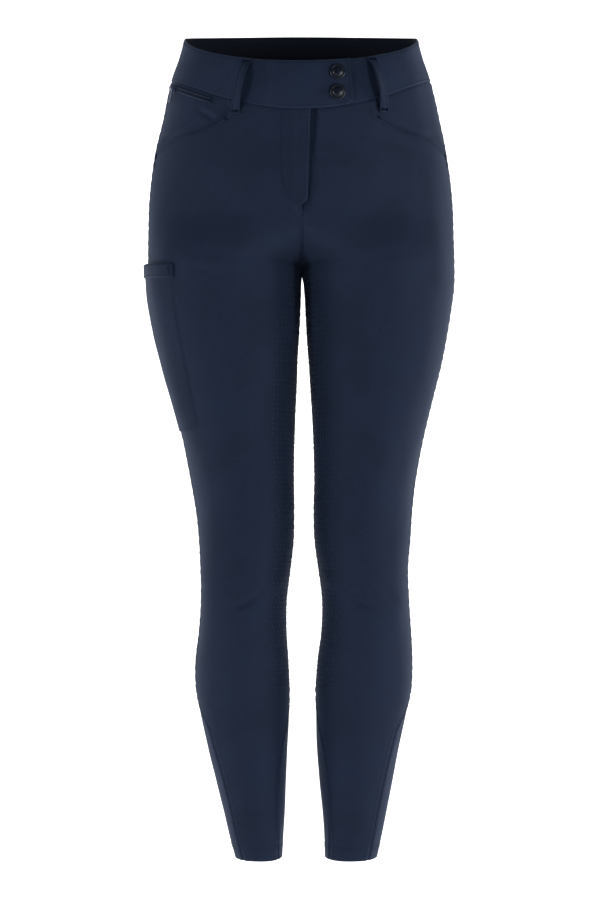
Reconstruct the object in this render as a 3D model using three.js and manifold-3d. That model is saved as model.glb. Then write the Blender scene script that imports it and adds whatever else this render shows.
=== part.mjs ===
// Riding breeches, filled out as if worn. Millimetres, +Z up, the front faces -Y.
// The origin is the middle of the waist. Side -1 is the wearer's right, side +1 the wearer's left.
import * as THREE from 'three';
import Module from 'manifold-3d';
import { mergeVertices } from 'three/addons/utils/BufferGeometryUtils.js';

// Cloth
const CLOTH = 1.4;
const BAND_CLOTH = 2.4;
const BAND_PROUD = 0.5;
const SEAM_GAP = 0.3;
const LAP_LIFT = CLOTH + SEAM_GAP;
const POCKET_DIP = CLOTH + 0.8;
const TAB_LIFT = BAND_PROUD + BAND_CLOTH + SEAM_GAP;

// Levels, as heights from the waist
const CROTCH = -240;
const FRONT_FORK_START = -180;
const BACK_FORK_START = -140;
const BAND_SIDE = -25;
const TILT_END = -175;
const CALF_TOP = -741;
const HEM = -930;
const SIDE_SEAM = -8;
const MOUTH_FOOT = -122;

// How much fuller than ellipses the sections are, and the levels between which that changes
const HIP_FULLNESS = 0.02;
const THIGH_FULLNESS = 0.06;
const HIP_FULL_LEVEL = -150;
const THIGH_FULL_LEVEL = -300;
const KNEE_FULL_LEVEL = -520;

// Half sections of the body of the garment, one row for each height. Out is the reach of each side,
// gap is half of the space between the legs, front and back are the depths, mid is the widest line.
const SECTIONS = [
  { z: 60, outRight: 129, outLeft: 127, gapRight: 0, gapLeft: 0, front: -100, back: 100, mid: 0 },
  { z: 27, outRight: 136, outLeft: 134, gapRight: 0, gapLeft: 0, front: -104, back: 104, mid: 0 },
  { z: 2, outRight: 143, outLeft: 141, gapRight: 0, gapLeft: 0, front: -108, back: 109, mid: 0 },
  { z: -21, outRight: 151.5, outLeft: 149.5, gapRight: 0, gapLeft: 0, front: -112, back: 114, mid: 0 },
  { z: -45, outRight: 157.5, outLeft: 156, gapRight: 0, gapLeft: 0, front: -114, back: 119, mid: 1 },
  { z: -68, outRight: 162, outLeft: 161, gapRight: 0, gapLeft: 0, front: -114, back: 123, mid: 2 },
  { z: -103, outRight: 170, outLeft: 168, gapRight: 0, gapLeft: 0, front: -113, back: 130, mid: 4 },
  { z: -138, outRight: 175, outLeft: 173.5, gapRight: 0, gapLeft: 0, front: -111, back: 136, mid: 6 },
  { z: -173, outRight: 179, outLeft: 177, gapRight: 0, gapLeft: 0, front: -107, back: 139, mid: 8 },
  { z: -208, outRight: 180.5, outLeft: 177.5, gapRight: 0, gapLeft: 0, front: -102, back: 136, mid: 9 },
  { z: -240, outRight: 180.5, outLeft: 178, gapRight: 0.3, gapLeft: 0.3, front: -97, back: 124, mid: 9 },
  { z: -261, outRight: 179.5, outLeft: 177.8, gapRight: 0.8, gapLeft: 2.0, front: -93, back: 113, mid: 8 },
  { z: -278, outRight: 177.5, outLeft: 176, gapRight: 1.4, gapLeft: 3.6, front: -90, back: 106, mid: 7 },
  { z: -314, outRight: 170.5, outLeft: 170.8, gapRight: 2.9, gapLeft: 5.3, front: -86, back: 97, mid: 5 },
  { z: -349, outRight: 162.5, outLeft: 164.4, gapRight: 5.3, gapLeft: 7.6, front: -83, back: 91, mid: 4 },
  { z: -384, outRight: 154.2, outLeft: 156.2, gapRight: 6.8, gapLeft: 9.9, front: -80, back: 87, mid: 3.5 },
  { z: -419, outRight: 145.5, outLeft: 148, gapRight: 8.8, gapLeft: 12.3, front: -76, back: 82, mid: 3 },
  { z: -454, outRight: 136.3, outLeft: 139.8, gapRight: 10.2, gapLeft: 14.2, front: -72, back: 76, mid: 2 },
  { z: -489, outRight: 129.3, outLeft: 132.8, gapRight: 9.9, gapLeft: 14.6, front: -69, back: 69, mid: 0 },
  { z: -524, outRight: 123.4, outLeft: 128.1, gapRight: 8.8, gapLeft: 13.5, front: -67, back: 62, mid: -2.5 },
  { z: -559, outRight: 119.9, outLeft: 125.8, gapRight: 9.2, gapLeft: 14.2, front: -66, back: 56, mid: -5 },
  { z: -594, outRight: 118.8, outLeft: 123.8, gapRight: 13.5, gapLeft: 19.3, front: -64, back: 53, mid: -5.5 },
  { z: -629, outRight: 118.8, outLeft: 125.8, gapRight: 18.1, gapLeft: 24, front: -61, back: 54, mid: -3.5 },
  { z: -664, outRight: 121, outLeft: 128.1, gapRight: 18.1, gapLeft: 23.4, front: -56, back: 59, mid: 1.5 },
  { z: -700, outRight: 124.2, outLeft: 129.3, gapRight: 15, gapLeft: 18.1, front: -50, back: 66, mid: 8 },
  { z: -735, outRight: 123.4, outLeft: 127.6, gapRight: 13.7, gapLeft: 15.8, front: -45, back: 70, mid: 12.5 },
  { z: -770, outRight: 117.4, outLeft: 121, gapRight: 15, gapLeft: 16.8, front: -41, back: 70, mid: 14.5 },
  { z: -805, outRight: 110.2, outLeft: 114, gapRight: 17.8, gapLeft: 18.3, front: -38, back: 66, mid: 14 },
  { z: -840, outRight: 102, outLeft: 107.6, gapRight: 19.1, gapLeft: 20.7, front: -36, back: 59, mid: 11.5 },
  { z: -875, outRight: 93.4, outLeft: 100.4, gapRight: 19.5, gapLeft: 23.6, front: -34, back: 52, mid: 9 },
  { z: -910, outRight: 84.2, outLeft: 93.3, gapRight: 20.5, gapLeft: 25.2, front: -32, back: 47, mid: 7.5 },
  { z: -945, outRight: 74, outLeft: 86, gapRight: 21.8, gapLeft: 25.2, front: -30.5, back: 44, mid: 7 },
];

// The largest folds, one row for each. Angle and z place its middle, slope turns it from level,
// run and reach are its half length and half width, and depth is how far the cloth goes in.
// No fold reaches further up or down than the fold height.
const FOLD_HEIGHT = 60;
const FOLDS = [
  { side: -1, angle: -104, z: -634, slope: 24, run: 17, reach: 6, depth: 2.6 },
  { side: -1, angle: -132, z: -612, slope: 38, run: 18, reach: 8, depth: -1.8 },
  { side: -1, angle: 92, z: -592, slope: -6, run: 34, reach: 7, depth: 3.2 },
  { side: -1, angle: 78, z: -628, slope: 10, run: 26, reach: 7, depth: 2.6 },
  { side: -1, angle: 106, z: -563, slope: -12, run: 24, reach: 8, depth: 2.2 },
  { side: -1, angle: 98, z: -268, slope: 8, run: 44, reach: 11, depth: 3.6 },
  { side: 1, angle: -92, z: -632, slope: -30, run: 17, reach: 6, depth: 2.4 },
  { side: 1, angle: -58, z: -630, slope: 34, run: 14, reach: 5, depth: 1.8 },
  { side: 1, angle: -128, z: -612, slope: -36, run: 18, reach: 8, depth: -1.8 },
  { side: 1, angle: 88, z: -596, slope: 5, run: 34, reach: 7, depth: 3.2 },
  { side: 1, angle: 104, z: -632, slope: -9, run: 25, reach: 7, depth: 2.4 },
  { side: 1, angle: 80, z: -566, slope: 14, run: 26, reach: 8, depth: 2.4 },
  { side: 1, angle: 96, z: -270, slope: -7, run: 42, reach: 11, depth: 3.4 },
  { side: 1, angle: -118, z: -222, slope: 28, run: 20, reach: 7, depth: 1.6 },
];

// Edge of the slanted pocket mouth, from the waistband out to the side seam
const MOUTH = [
  { z: -25, angle: -58.5 },
  { z: -42, angle: -59 },
  { z: -54, angle: -56.5 },
  { z: -66, angle: -52 },
  { z: -79, angle: -45.5 },
  { z: -89, angle: -34 },
  { z: -103, angle: -22 },
  { z: -113, angle: -15 },
  { z: MOUTH_FOOT, angle: SIDE_SEAM },
];

// Front and back edges of the calf insert, as angles round the leg at each height
const INSERT_EDGE = [
  { z: CALF_TOP, outer: SIDE_SEAM, inner: -180 },
  { z: -752, outer: -15, inner: -176 },
  { z: -764, outer: -27, inner: -170 },
  { z: -778, outer: -37, inner: -160 },
  { z: -800, outer: -41, inner: -148 },
  { z: -830, outer: -45, inner: -140 },
  { z: -870, outer: -48, inner: -136 },
  { z: -905, outer: -50, inner: -139 },
  { z: HEM, outer: -53, inner: -141 },
];

// Rows of points down each panel
const BAND_ROWS = 5;
const MOUTH_ROWS = [BAND_SIDE, -42, -54, -66, -74, -80, -85, -89, -95, -103, -113, MOUTH_FOOT];
const HIP_ROWS = [BAND_SIDE, -45, -66, -88, -105, MOUTH_FOOT];
const SEAT_ROWS = [-145, -172, -179, -192, -205, -216, -225, -231.5, -236.5];
const LEG_ROWS = [
  -243, -254, -264, -275, -295, -330, -365, -400, -435, -470, -505, -535, -555, -568, -580, -592, -604,
  -616, -628, -640, -655, -680, -710,
];
const CALF_ROWS = [CALF_TOP, -752, -764, -780, -805, -835, -870, -902, HEM];
const PANEL_COLUMNS = 9;

// Waistband: its top at the side, the slope and curve of that edge towards the front, its slope
// towards the back, and how far its foot dips at the front and rises at the back
const BAND_TOP = 27;
const BAND_FRONT_SLOPE = 33;
const BAND_FRONT_CURVE = 13;
const BAND_BACK_SLOPE = 20;
const BAND_FRONT_DIP = 46.5;
const BAND_BACK_RISE = 18;
const BAND_FOOT_POWER = 2.3;
const BAND_SEAM_TURN = 0.06;

// Fly
const FLY_TOP_LAP = 9;
const FLY_FOOT_LAP = 6;
const FLY_FOOT = -172;
const FLY_LAP_END = -178.5;
const FLY_END = -191.5;
const FLY_STEP = 1.2;
const FLY_FLAT = 1.5;
const FLY_RAMP = 12;
const UNDERLAP_RIGHT = -20;
const UNDERLAP_LEFT = 8;
const UNDERLAP_TOP = -74;
const UNDERLAP_DROP = CLOTH + 0.5;

// Tab of the waistband
const TAB_REACH = 55.5;
const TAB_CORNER = 8;
const BAND_UNDER_TAB = 28;
const TAB_RAMP_START = BAND_UNDER_TAB + 16;
const TAB_RAMP_END = BAND_UNDER_TAB + 3;

// Belt loops: angle round the waist of each, with its side. Sewn is the share at each end that lies flat.
const LOOP_WIDTH = 10.5;
const LOOP_CLOTH = 1.8;
const LOOP_STAND = 9.5;
const LOOP_SEAT = BAND_PROUD + 0.35;
const LOOP_BELOW_TOP = 1.5;
const LOOP_BELOW_BAND = 9;
const LOOP_SEWN = 0.06;
const LOOP_BOW = 0.75;
const LOOP_STEPS = 12;
const LOOPS = [
  { name: 'belt_loop_front_right', side: -1, angle: -64 },
  { name: 'belt_loop_front_left', side: 1, angle: -55 },
  { name: 'belt_loop_back_right', side: -1, angle: 60 },
  { name: 'belt_loop_back_left', side: 1, angle: 60 },
  { name: 'belt_loop_back_centre', side: 1, angle: 90 },
];

// Snaps
const SNAP_RADIUS = 8.8;
const SNAP_HEIGHT = 4.2;
const SNAP_X = 39;
const SNAP_LIFT = TAB_LIFT + 0.5;
const SNAP_PROFILE = [
  { radius: 0, height: 0 },
  { radius: SNAP_RADIUS, height: 0 },
  { radius: SNAP_RADIUS, height: 1.6 },
  { radius: SNAP_RADIUS - 0.6, height: 2.4 },
  { radius: SNAP_RADIUS - 1.8, height: 2.6 },
  { radius: SNAP_RADIUS - 2.4, height: 2.1 },
  { radius: SNAP_RADIUS - 3.2, height: 2.9 },
  { radius: SNAP_RADIUS - 5.2, height: SNAP_HEIGHT - 0.4 },
  { radius: 0, height: SNAP_HEIGHT },
];
const SNAPS = [
  { name: 'snap_upper', z: -31 },
  { name: 'snap_lower', z: -53.5 },
];

// Thigh pocket on the right leg
const POCKET_FRONT = -53;
const POCKET_BACK = 13;
const POCKET_TOP = -236;
const POCKET_TILT = 6.5;
const POCKET_HEM = 15;
const POCKET_FOOT = -432;
const POCKET_BELLY = 2.6;
const POCKET_BELLY_POWER = 0.6;
const POCKET_CORNER = 14;
const POCKET_STOPS = [0.0018, 0.1, 0.25, 0.4, 0.55, 0.7, 0.82, 0.92, 0.945, 0.965, 0.98, 0.992, 1];
const HEM_CLOTH = 2.8;
const HEM_BELLY = 2.9;
const HEM_BELLY_POWER = 0.5;
const HEM_FRONT = POCKET_FRONT - 1;
const HEM_BACK = POCKET_BACK + 0.5;

// Hip facing and calf insert
const FACING_UNDER = 3;
const FACING_RISE_START = 5;
const FACING_RISE_END = 13;
const FACING_CLOTH = CLOTH - 0.2;
const CALF_SINK = 0.4;
const CALF_CLOTH = 1.2;

// Zip of the small hip pocket
const ZIP_Z = -33.5;
const ZIP_INNER = -50;
const ZIP_OUTER = -17;
const ZIP_HALF = 3.4;
const ZIP_CLOTH = 1.2;
const SLIDER_ANGLE = -23;
const SLIDER_WIDTH = 8;
const SLIDER_LENGTH = 9;
const SLIDER_BASE = 1.6;
const LUG = 1.1;
const PIN_RADIUS = 0.8;
const EYE_INNER = 1.15;
const EYE_OUTER = 2.1;
const PIN_HEIGHT = SLIDER_BASE + EYE_OUTER + 0.35;
const LUG_HALF = 2.2;
const LUG_ROUND = EYE_OUTER - 0.3;
const LUG_SINK = 0.2;
const SLIDER_SHIFT = 1.6;
const SLIDER_LIFT = 2 * SEAM_GAP + ZIP_CLOTH + 0.1;
const PULL_WIDTH = 4.9;
const PULL_LENGTH = 17;
const PULL_CLOTH = 1.4;
const PULL_MEET = 0.94 * EYE_OUTER;

const COLOURS = {
  cloth: { color: '#232b46', roughness: 0.85, metalness: 0 },
  stretch: { color: '#29324e', roughness: 0.8, metalness: 0 },
  snap: { color: '#10131d', roughness: 0.25, metalness: 0.1 },
  zip: { color: '#1a1f30', roughness: 0.5, metalness: 0.2 },
};

const wasm = await Module();
wasm.setup();
const breeches = new THREE.Group();

const radians = THREE.MathUtils.degToRad;

function smooth(low, high, value) {
  const t = THREE.MathUtils.clamp((value - low) / (high - low), 0, 1);
  return t * t * (3 - 2 * t);
}

// A smooth curve through one column of a table whose rows run downwards
function follow(table, column) {
  return (z) => {
    const last = table.length - 1;
    const clamped = Math.min(table[0].z, Math.max(table[last].z, z));
    let i = 0;
    while (i < last - 1 && table[i + 1].z > clamped) i += 1;
    const slope = (k) => {
      const a = table[Math.max(k - 1, 0)];
      const b = table[Math.min(k + 1, last)];
      return (b[column] - a[column]) / (b.z - a.z);
    };
    const upper = table[i];
    const lower = table[i + 1];
    const span = lower.z - upper.z;
    const t = (clamped - upper.z) / span;
    const t2 = t * t;
    const t3 = t2 * t;
    return (2 * t3 - 3 * t2 + 1) * upper[column] + (t3 - 2 * t2 + t) * span * slope(i)
      + (3 * t2 - 2 * t3) * lower[column] + (t3 - t2) * span * slope(i + 1);
  };
}

const outRight = follow(SECTIONS, 'outRight');
const outLeft = follow(SECTIONS, 'outLeft');
const gapRight = follow(SECTIONS, 'gapRight');
const gapLeft = follow(SECTIONS, 'gapLeft');
const frontDepth = follow(SECTIONS, 'front');
const backDepth = follow(SECTIONS, 'back');
const middle = follow(SECTIONS, 'mid');
const mouthAngle = follow(MOUTH, 'angle');
const insertOuter = follow(INSERT_EDGE, 'outer');
const insertInner = follow(INSERT_EDGE, 'inner');

// How far the section has forked into a leg: 0 is a half trunk, 1 is a whole leg
function fork(angle, z) {
  const start = angle < 0 ? FRONT_FORK_START : BACK_FORK_START;
  const t = THREE.MathUtils.clamp((start - z) / (start - CROTCH), 0, 1);
  return 1 - (1 - t) ** 1.5 * (1 + 1.5 * t);
}

// Centre and half width of one side's section
function halfSection(side, angle, z) {
  const out = side < 0 ? outRight(z) : outLeft(z);
  if (z <= CROTCH) {
    const gap = side < 0 ? gapRight(z) : gapLeft(z);
    return { centre: (out + gap) / 2, half: (out - gap) / 2 };
  }
  const forked = fork(angle, z);
  return { centre: (out * forked) / (1 + forked), half: out / (1 + forked) };
}

// How far the folds push the cloth in at a point
function foldDepth(side, angle, z) {
  let depth = 0;
  for (const fold of FOLDS) {
    if (fold.side !== side || Math.abs(z - fold.z) > FOLD_HEIGHT) continue;
    const { half } = halfSection(side, angle, z);
    const round = radians(angle - fold.angle) * half;
    const rise = z - fold.z;
    const turn = radians(fold.slope);
    const along = (round * Math.cos(turn) + rise * Math.sin(turn)) / fold.run;
    const across = (rise * Math.cos(turn) - round * Math.sin(turn)) / fold.reach;
    depth += fold.depth * Math.exp(-along * along - across * across);
  }
  return depth;
}

// How much fuller than an ellipse a section is between its front, side and back
function fullness(z) {
  const rise = smooth(HIP_FULL_LEVEL, CROTCH, z) * smooth(KNEE_FULL_LEVEL, THIGH_FULL_LEVEL, z);
  return HIP_FULLNESS + (THIGH_FULLNESS - HIP_FULLNESS) * rise;
}

// A point of the outer face before its folds: 0 degrees is the outer side, -90 front, +90 back
function bodyPoint(side, angle, z) {
  const { centre, half } = halfSection(side, angle, z);
  const turn = radians(angle);
  const full = 1 + fullness(z) * Math.sin(2 * turn) ** 2;
  const mid = middle(z);
  const depth = angle < 0 ? mid - frontDepth(z) : backDepth(z) - mid;
  const x = centre + half * full * Math.cos(turn);
  return new THREE.Vector3(side * x, mid + depth * full * Math.sin(turn), z);
}

function bodyNormal(side, angle, z) {
  const round = bodyPoint(side, angle + 0.4, z).sub(bodyPoint(side, angle - 0.4, z));
  const up = bodyPoint(side, angle, z + 0.6).sub(bodyPoint(side, angle, z - 0.6));
  return round.cross(up).normalize().multiplyScalar(side);
}

// A point on the garment, raised from its outer face by so many millimetres
function raised(side, angle, z, lift) {
  const push = lift - foldDepth(side, angle, z);
  return bodyPoint(side, angle, z).addScaledVector(bodyNormal(side, angle, z), push);
}

// Angle at which a section reaches a given distance from the centre line, found by halving
function angleAt(side, end, z, x) {
  let near = 0;
  let far = 180;
  for (let k = 0; k < 40; k += 1) {
    const angle = (near + far) / 2;
    if (side * bodyPoint(side, end * angle, z).x > x) near = angle;
    else far = angle;
  }
  return end * near;
}

// Degrees round a section that make a given length
function degreesFor(side, angle, z, length) {
  const step = bodyPoint(side, angle + 0.5, z).distanceTo(bodyPoint(side, angle - 0.5, z));
  return length / step;
}

// Top and bottom edges of the waistband, which dips at the front and rises at the back
function bandTop(angle) {
  const s = Math.sin(radians(angle));
  return BAND_TOP + (s < 0 ? BAND_FRONT_SLOPE * s - BAND_FRONT_CURVE * s * s : BAND_BACK_SLOPE * s);
}

function bandFoot(angle) {
  const s = Math.sin(radians(angle));
  return BAND_SIDE + (s < 0 ? -BAND_FRONT_DIP : BAND_BACK_RISE) * Math.abs(s) ** BAND_FOOT_POWER;
}

// Height on a panel: rows start along the waistband and are level from the hip down
function rowHeight(angle, z) {
  const tilt = 1 - smooth(0, 1, (BAND_SIDE - z) / (BAND_SIDE - TILT_END));
  return z + (bandFoot(angle) - BAND_SIDE) * tilt;
}

// A closed wall from a grid of outer points and the matching inner points
function wall(columns, rows, outerPoint, innerPoint) {
  const positions = [];
  const index = [];
  const wide = columns + 1;
  const sheet = wide * (rows + 1);
  for (const pointAt of [outerPoint, innerPoint]) {
    for (let row = 0; row <= rows; row += 1) {
      for (let column = 0; column <= columns; column += 1) {
        const p = pointAt(column, row);
        positions.push(p.x, p.y, p.z);
      }
    }
  }
  const quad = (a, b, c, d) => index.push(a, b, c, a, c, d);
  for (let row = 0; row < rows; row += 1) {
    for (let column = 0; column < columns; column += 1) {
      const a = row * wide + column;
      quad(a, a + wide, a + wide + 1, a + 1);
      quad(sheet + a, sheet + a + 1, sheet + a + wide + 1, sheet + a + wide);
    }
  }
  for (let column = 0; column < columns; column += 1) {
    const foot = rows * wide + column;
    quad(column, column + 1, sheet + column + 1, sheet + column);
    quad(foot + 1, foot, sheet + foot, sheet + foot + 1);
  }
  for (let row = 0; row < rows; row += 1) {
    const first = row * wide;
    const last = first + columns;
    quad(first + wide, first, sheet + first, sheet + first + wide);
    quad(last, last + wide, sheet + last + wide, sheet + last);
  }
  return facingOut(positions, index);
}

// Turns the triangles round when a body comes out inside out
function facingOut(positions, index) {
  let volume = 0;
  const corner = (k) => new THREE.Vector3().fromArray(positions, 3 * index[k]);
  for (let k = 0; k < index.length; k += 3) {
    volume += corner(k).dot(corner(k + 1).cross(corner(k + 2)));
  }
  if (volume < 0) {
    for (let k = 0; k < index.length; k += 3) [index[k], index[k + 1]] = [index[k + 1], index[k]];
  }
  const geometry = new THREE.BufferGeometry();
  geometry.setAttribute('position', new THREE.Float32BufferAttribute(positions, 3));
  geometry.setIndex(index);
  return geometry;
}

function add(name, geometry, colours) {
  geometry.computeVertexNormals();
  const mesh = new THREE.Mesh(geometry, new THREE.MeshStandardMaterial(colours));
  mesh.name = name;
  breeches.add(mesh);
  return mesh;
}

// A panel between two edges given as angles, with a lift for its outer face.
// A step, where there is one, is the angle of the last column but one.
function panel({
  side,
  rows,
  from,
  to,
  step,
  lift = () => 0,
  columns = PANEL_COLUMNS,
  cloth = CLOTH,
  height = rowHeight,
}) {
  const place = (column, row) => {
    const z = rows[row];
    const start = from(z);
    const end = to(z);
    const inset = SEAM_GAP / 2;
    const first = start + Math.sign(end - start) * degreesFor(side, start, z, inset);
    const last = end - Math.sign(end - start) * degreesFor(side, end, z, inset);
    const turn = step?.(z) ?? first + ((last - first) * (columns - 1)) / columns;
    const angle = column < columns ? first + ((turn - first) * column) / (columns - 1) : last;
    let level = height(angle, z);
    if (row === 0) level -= inset;
    if (row === rows.length - 1) level += inset;
    return { angle, z: level, lift: lift(angle, z, level) };
  };
  const at = (drop) => (column, row) => {
    const p = place(column, row);
    return raised(side, p.angle, p.z, p.lift - drop);
  };
  return wall(columns, rows.length - 1, at(0), at(cloth));
}

// Edge of a front or back panel at the centre seam above the crotch and the inseam below it
function innerEdge(side, end) {
  return (z) => {
    const level = rowHeight(90 * end, z);
    return level > CROTCH ? angleAt(side, end, level, SEAM_GAP / 2) : end * 180;
  };
}

// The right front laps over the left one at the fly by a few millimetres, less towards its foot
function flyLap(z) {
  const lap = THREE.MathUtils.mapLinear(z, bandFoot(-90), FLY_FOOT, FLY_TOP_LAP, FLY_FOOT_LAP);
  return lap * (1 - smooth(-FLY_FOOT, -FLY_LAP_END, -z));
}

function rightFlyEdge(z) {
  const level = rowHeight(-90, z);
  const lap = flyLap(level);
  return lap > 0 ? angleAt(-1, -1, level, -lap) : innerEdge(-1, -1)(z);
}

function flyLift(angle, z, level) {
  const x = -bodyPoint(-1, angle, level).x;
  const down = 1 - smooth(-FLY_LAP_END, -FLY_END, -level);
  return LAP_LIFT * (1 - smooth(FLY_FLAT, FLY_RAMP, x)) * down;
}

function frontPanel(side) {
  const rows = [...MOUTH_ROWS, ...SEAT_ROWS, ...LEG_ROWS, ...CALF_ROWS];
  const outer = (z) => {
    if (z > MOUTH_FOOT) return mouthAngle(z);
    if (z >= CALF_TOP) return SIDE_SEAM;
    return insertOuter(z);
  };
  const inner = (z) => {
    if (z < CALF_TOP) return insertInner(z);
    return side < 0 ? rightFlyEdge(z) : innerEdge(side, -1)(z);
  };
  if (side > 0) return panel({ side, rows, from: outer, to: inner });
  const step = (z) => (z > FLY_END ? angleAt(-1, -1, rowHeight(-90, z), FLY_STEP) : undefined);
  return panel({ side, rows, from: outer, to: inner, step, lift: flyLift });
}

function backPanel(side) {
  const rows = [...HIP_ROWS, ...SEAT_ROWS, ...LEG_ROWS, CALF_TOP];
  return panel({ side, rows, from: () => SIDE_SEAM, to: innerEdge(side, 1) });
}

// The facing shows behind the pocket mouth and runs on a little way under the front
function hipFacing(side) {
  const rows = MOUTH_ROWS.filter((z) => z > MOUTH_FOOT);
  const dip = (angle, z) => {
    const fromMouth = angle - mouthAngle(z);
    return -POCKET_DIP * (1 - smooth(FACING_RISE_START, FACING_RISE_END, fromMouth));
  };
  return panel({
    side,
    rows,
    from: () => SIDE_SEAM,
    to: (z) => mouthAngle(z) - FACING_UNDER,
    columns: 8,
    lift: dip,
    cloth: FACING_CLOTH,
  });
}

function calfInsert(side) {
  return panel({
    side,
    rows: CALF_ROWS,
    from: insertOuter,
    to: (z) => insertInner(z) + 360,
    columns: 12,
    lift: () => -CALF_SINK,
    cloth: CALF_CLOTH,
    height: (angle, z) => z,
  });
}

// A length of waistband between two signed angles measured back from the centre front
function band({ from, to, columns, lift = () => BAND_PROUD, foot = () => 0 }) {
  const at = (drop) => (column, row) => {
    const turn = from + ((to - from) * column) / columns;
    const side = turn < 0 ? -1 : 1;
    const angle = Math.abs(turn) - 90;
    const top = bandTop(angle);
    const low = bandFoot(angle) + SEAM_GAP / 2 + foot(turn);
    const z = top + ((low - top) * row) / BAND_ROWS;
    return raised(side, angle, z, lift(turn) - drop);
  };
  return wall(columns, BAND_ROWS, at(0), at(BAND_CLOTH));
}

// Angle from the centre front, signed by side, at a distance from the centre line
function bandTurn(x) {
  return Math.sign(x) * THREE.MathUtils.radToDeg(Math.asin(Math.abs(x) / outRight(-45)));
}

function rightBand() {
  const seam = 90 + SIDE_SEAM - BAND_SEAM_TURN;
  const end = bandTurn(TAB_REACH);
  const start = bandTurn(-TAB_RAMP_START);
  const full = bandTurn(-TAB_RAMP_END);
  const lift = (turn) => BAND_PROUD + (TAB_LIFT - BAND_PROUD) * smooth(start, full, turn);
  const foot = (turn) => {
    const corner = bandTurn(TAB_REACH - TAB_CORNER);
    const t = THREE.MathUtils.clamp((turn - corner) / (end - corner), 0, 1);
    return TAB_CORNER * (1 - Math.sqrt(1 - t * t));
  };
  return band({ from: -seam, to: end, columns: 26, lift, foot });
}

function leftBand() {
  const seam = 90 + SIDE_SEAM - BAND_SEAM_TURN;
  return band({ from: bandTurn(-BAND_UNDER_TAB), to: seam, columns: 20 });
}

// The back of the waistband runs from one side seam round to the other
function backBand() {
  const columns = 2 * PANEL_COLUMNS;
  const seam = 90 - SIDE_SEAM - BAND_SEAM_TURN;
  const at = (drop) => (column, row) => {
    const turn = -seam + (2 * seam * column) / columns;
    const side = turn < 0 ? -1 : 1;
    const angle = 90 - Math.abs(turn);
    const top = bandTop(angle);
    const low = bandFoot(angle) + SEAM_GAP / 2;
    return raised(side, angle, top + ((low - top) * row) / BAND_ROWS, BAND_PROUD - drop);
  };
  return wall(columns, BAND_ROWS, at(0), at(BAND_CLOTH));
}

// The underlap hangs behind the fly, clear of the inside of both fronts
function flyUnderlap() {
  const columns = 5;
  const rows = 6;
  const at = (drop) => (column, row) => {
    const x = UNDERLAP_RIGHT + ((UNDERLAP_LEFT - UNDERLAP_RIGHT) * column) / columns;
    const side = x < 0 ? -1 : 1;
    const z = UNDERLAP_TOP + ((FLY_FOOT - UNDERLAP_TOP) * row) / rows;
    return raised(side, angleAt(side, -1, z, Math.abs(x)), z, -UNDERLAP_DROP - drop);
  };
  return wall(columns, rows, at(0), at(CLOTH));
}

// A strap sewn down at both ends that bows away from the waistband between them
function beltLoop(side, angle) {
  const top = bandTop(angle) - LOOP_BELOW_TOP;
  const foot = bandFoot(angle) - LOOP_BELOW_BAND;
  const path = (step, drop) => {
    const t = step / LOOP_STEPS;
    const free = THREE.MathUtils.clamp((t - LOOP_SEWN) / (1 - 2 * LOOP_SEWN), 0, 1);
    const bow = LOOP_STAND * Math.sin(Math.PI * free) ** LOOP_BOW;
    return raised(side, angle, top + (foot - top) * t, LOOP_SEAT + LOOP_CLOTH + bow - drop);
  };
  const across = bodyPoint(side, angle + 0.5, foot).sub(bodyPoint(side, angle - 0.5, foot)).normalize();
  if (angle === 90) across.set(1, 0, 0);
  const at = (drop) => (column, step) => {
    return path(step, drop).addScaledVector(across, (column - 0.5) * LOOP_WIDTH);
  };
  return wall(1, LOOP_STEPS, at(0), at(LOOP_CLOTH));
}

// A place on the garment with its own axes: x runs level round it, y down it and z out of it
function frameOn(side, angle, z, lift) {
  const out = bodyNormal(side, angle, z);
  const down = bodyPoint(side, angle, z - 1).sub(bodyPoint(side, angle, z));
  down.addScaledVector(out, -down.dot(out)).normalize();
  const round = down.clone().cross(out);
  const frame = new THREE.Matrix4().makeBasis(round, down, out);
  return frame.setPosition(raised(side, angle, z, lift));
}

// A domed snap: a flat rim, a groove and a low dome
function snap() {
  const outline = SNAP_PROFILE.map(({ radius, height }) => new THREE.Vector2(radius, height));
  return new THREE.LatheGeometry(outline, 18).rotateX(Math.PI / 2);
}

// The thigh pocket lies on the panel from its hem down to a foot with rounded corners
function pocketPoint(t, s, lift) {
  const top = POCKET_TOP - POCKET_HEM - POCKET_TILT * (1 - t);
  const z = top + (POCKET_FOOT - top) * s;
  const angle = POCKET_FRONT + (POCKET_BACK - POCKET_FRONT) * t;
  const half = (POCKET_BACK - POCKET_FRONT) / 2;
  const fromFoot = z - POCKET_FOOT;
  const corner = THREE.MathUtils.clamp(1 - fromFoot / POCKET_CORNER, 0, 1);
  const narrowing = POCKET_CORNER * (1 - Math.sqrt(1 - corner * corner));
  const centre = (POCKET_FRONT + POCKET_BACK) / 2;
  const pull = 1 - degreesFor(-1, centre, z, narrowing) / half;
  const belly = POCKET_BELLY * Math.sin(Math.PI * t) ** POCKET_BELLY_POWER * smooth(0, 0.5, 1.04 - s);
  return raised(-1, centre + (angle - centre) * pull, z, SEAM_GAP + belly + lift);
}

function thighPocket() {
  const columns = 9;
  const at = (lift) => (column, row) => pocketPoint(column / columns, POCKET_STOPS[row], lift);
  return wall(columns, POCKET_STOPS.length - 1, at(CLOTH), at(0));
}

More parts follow.
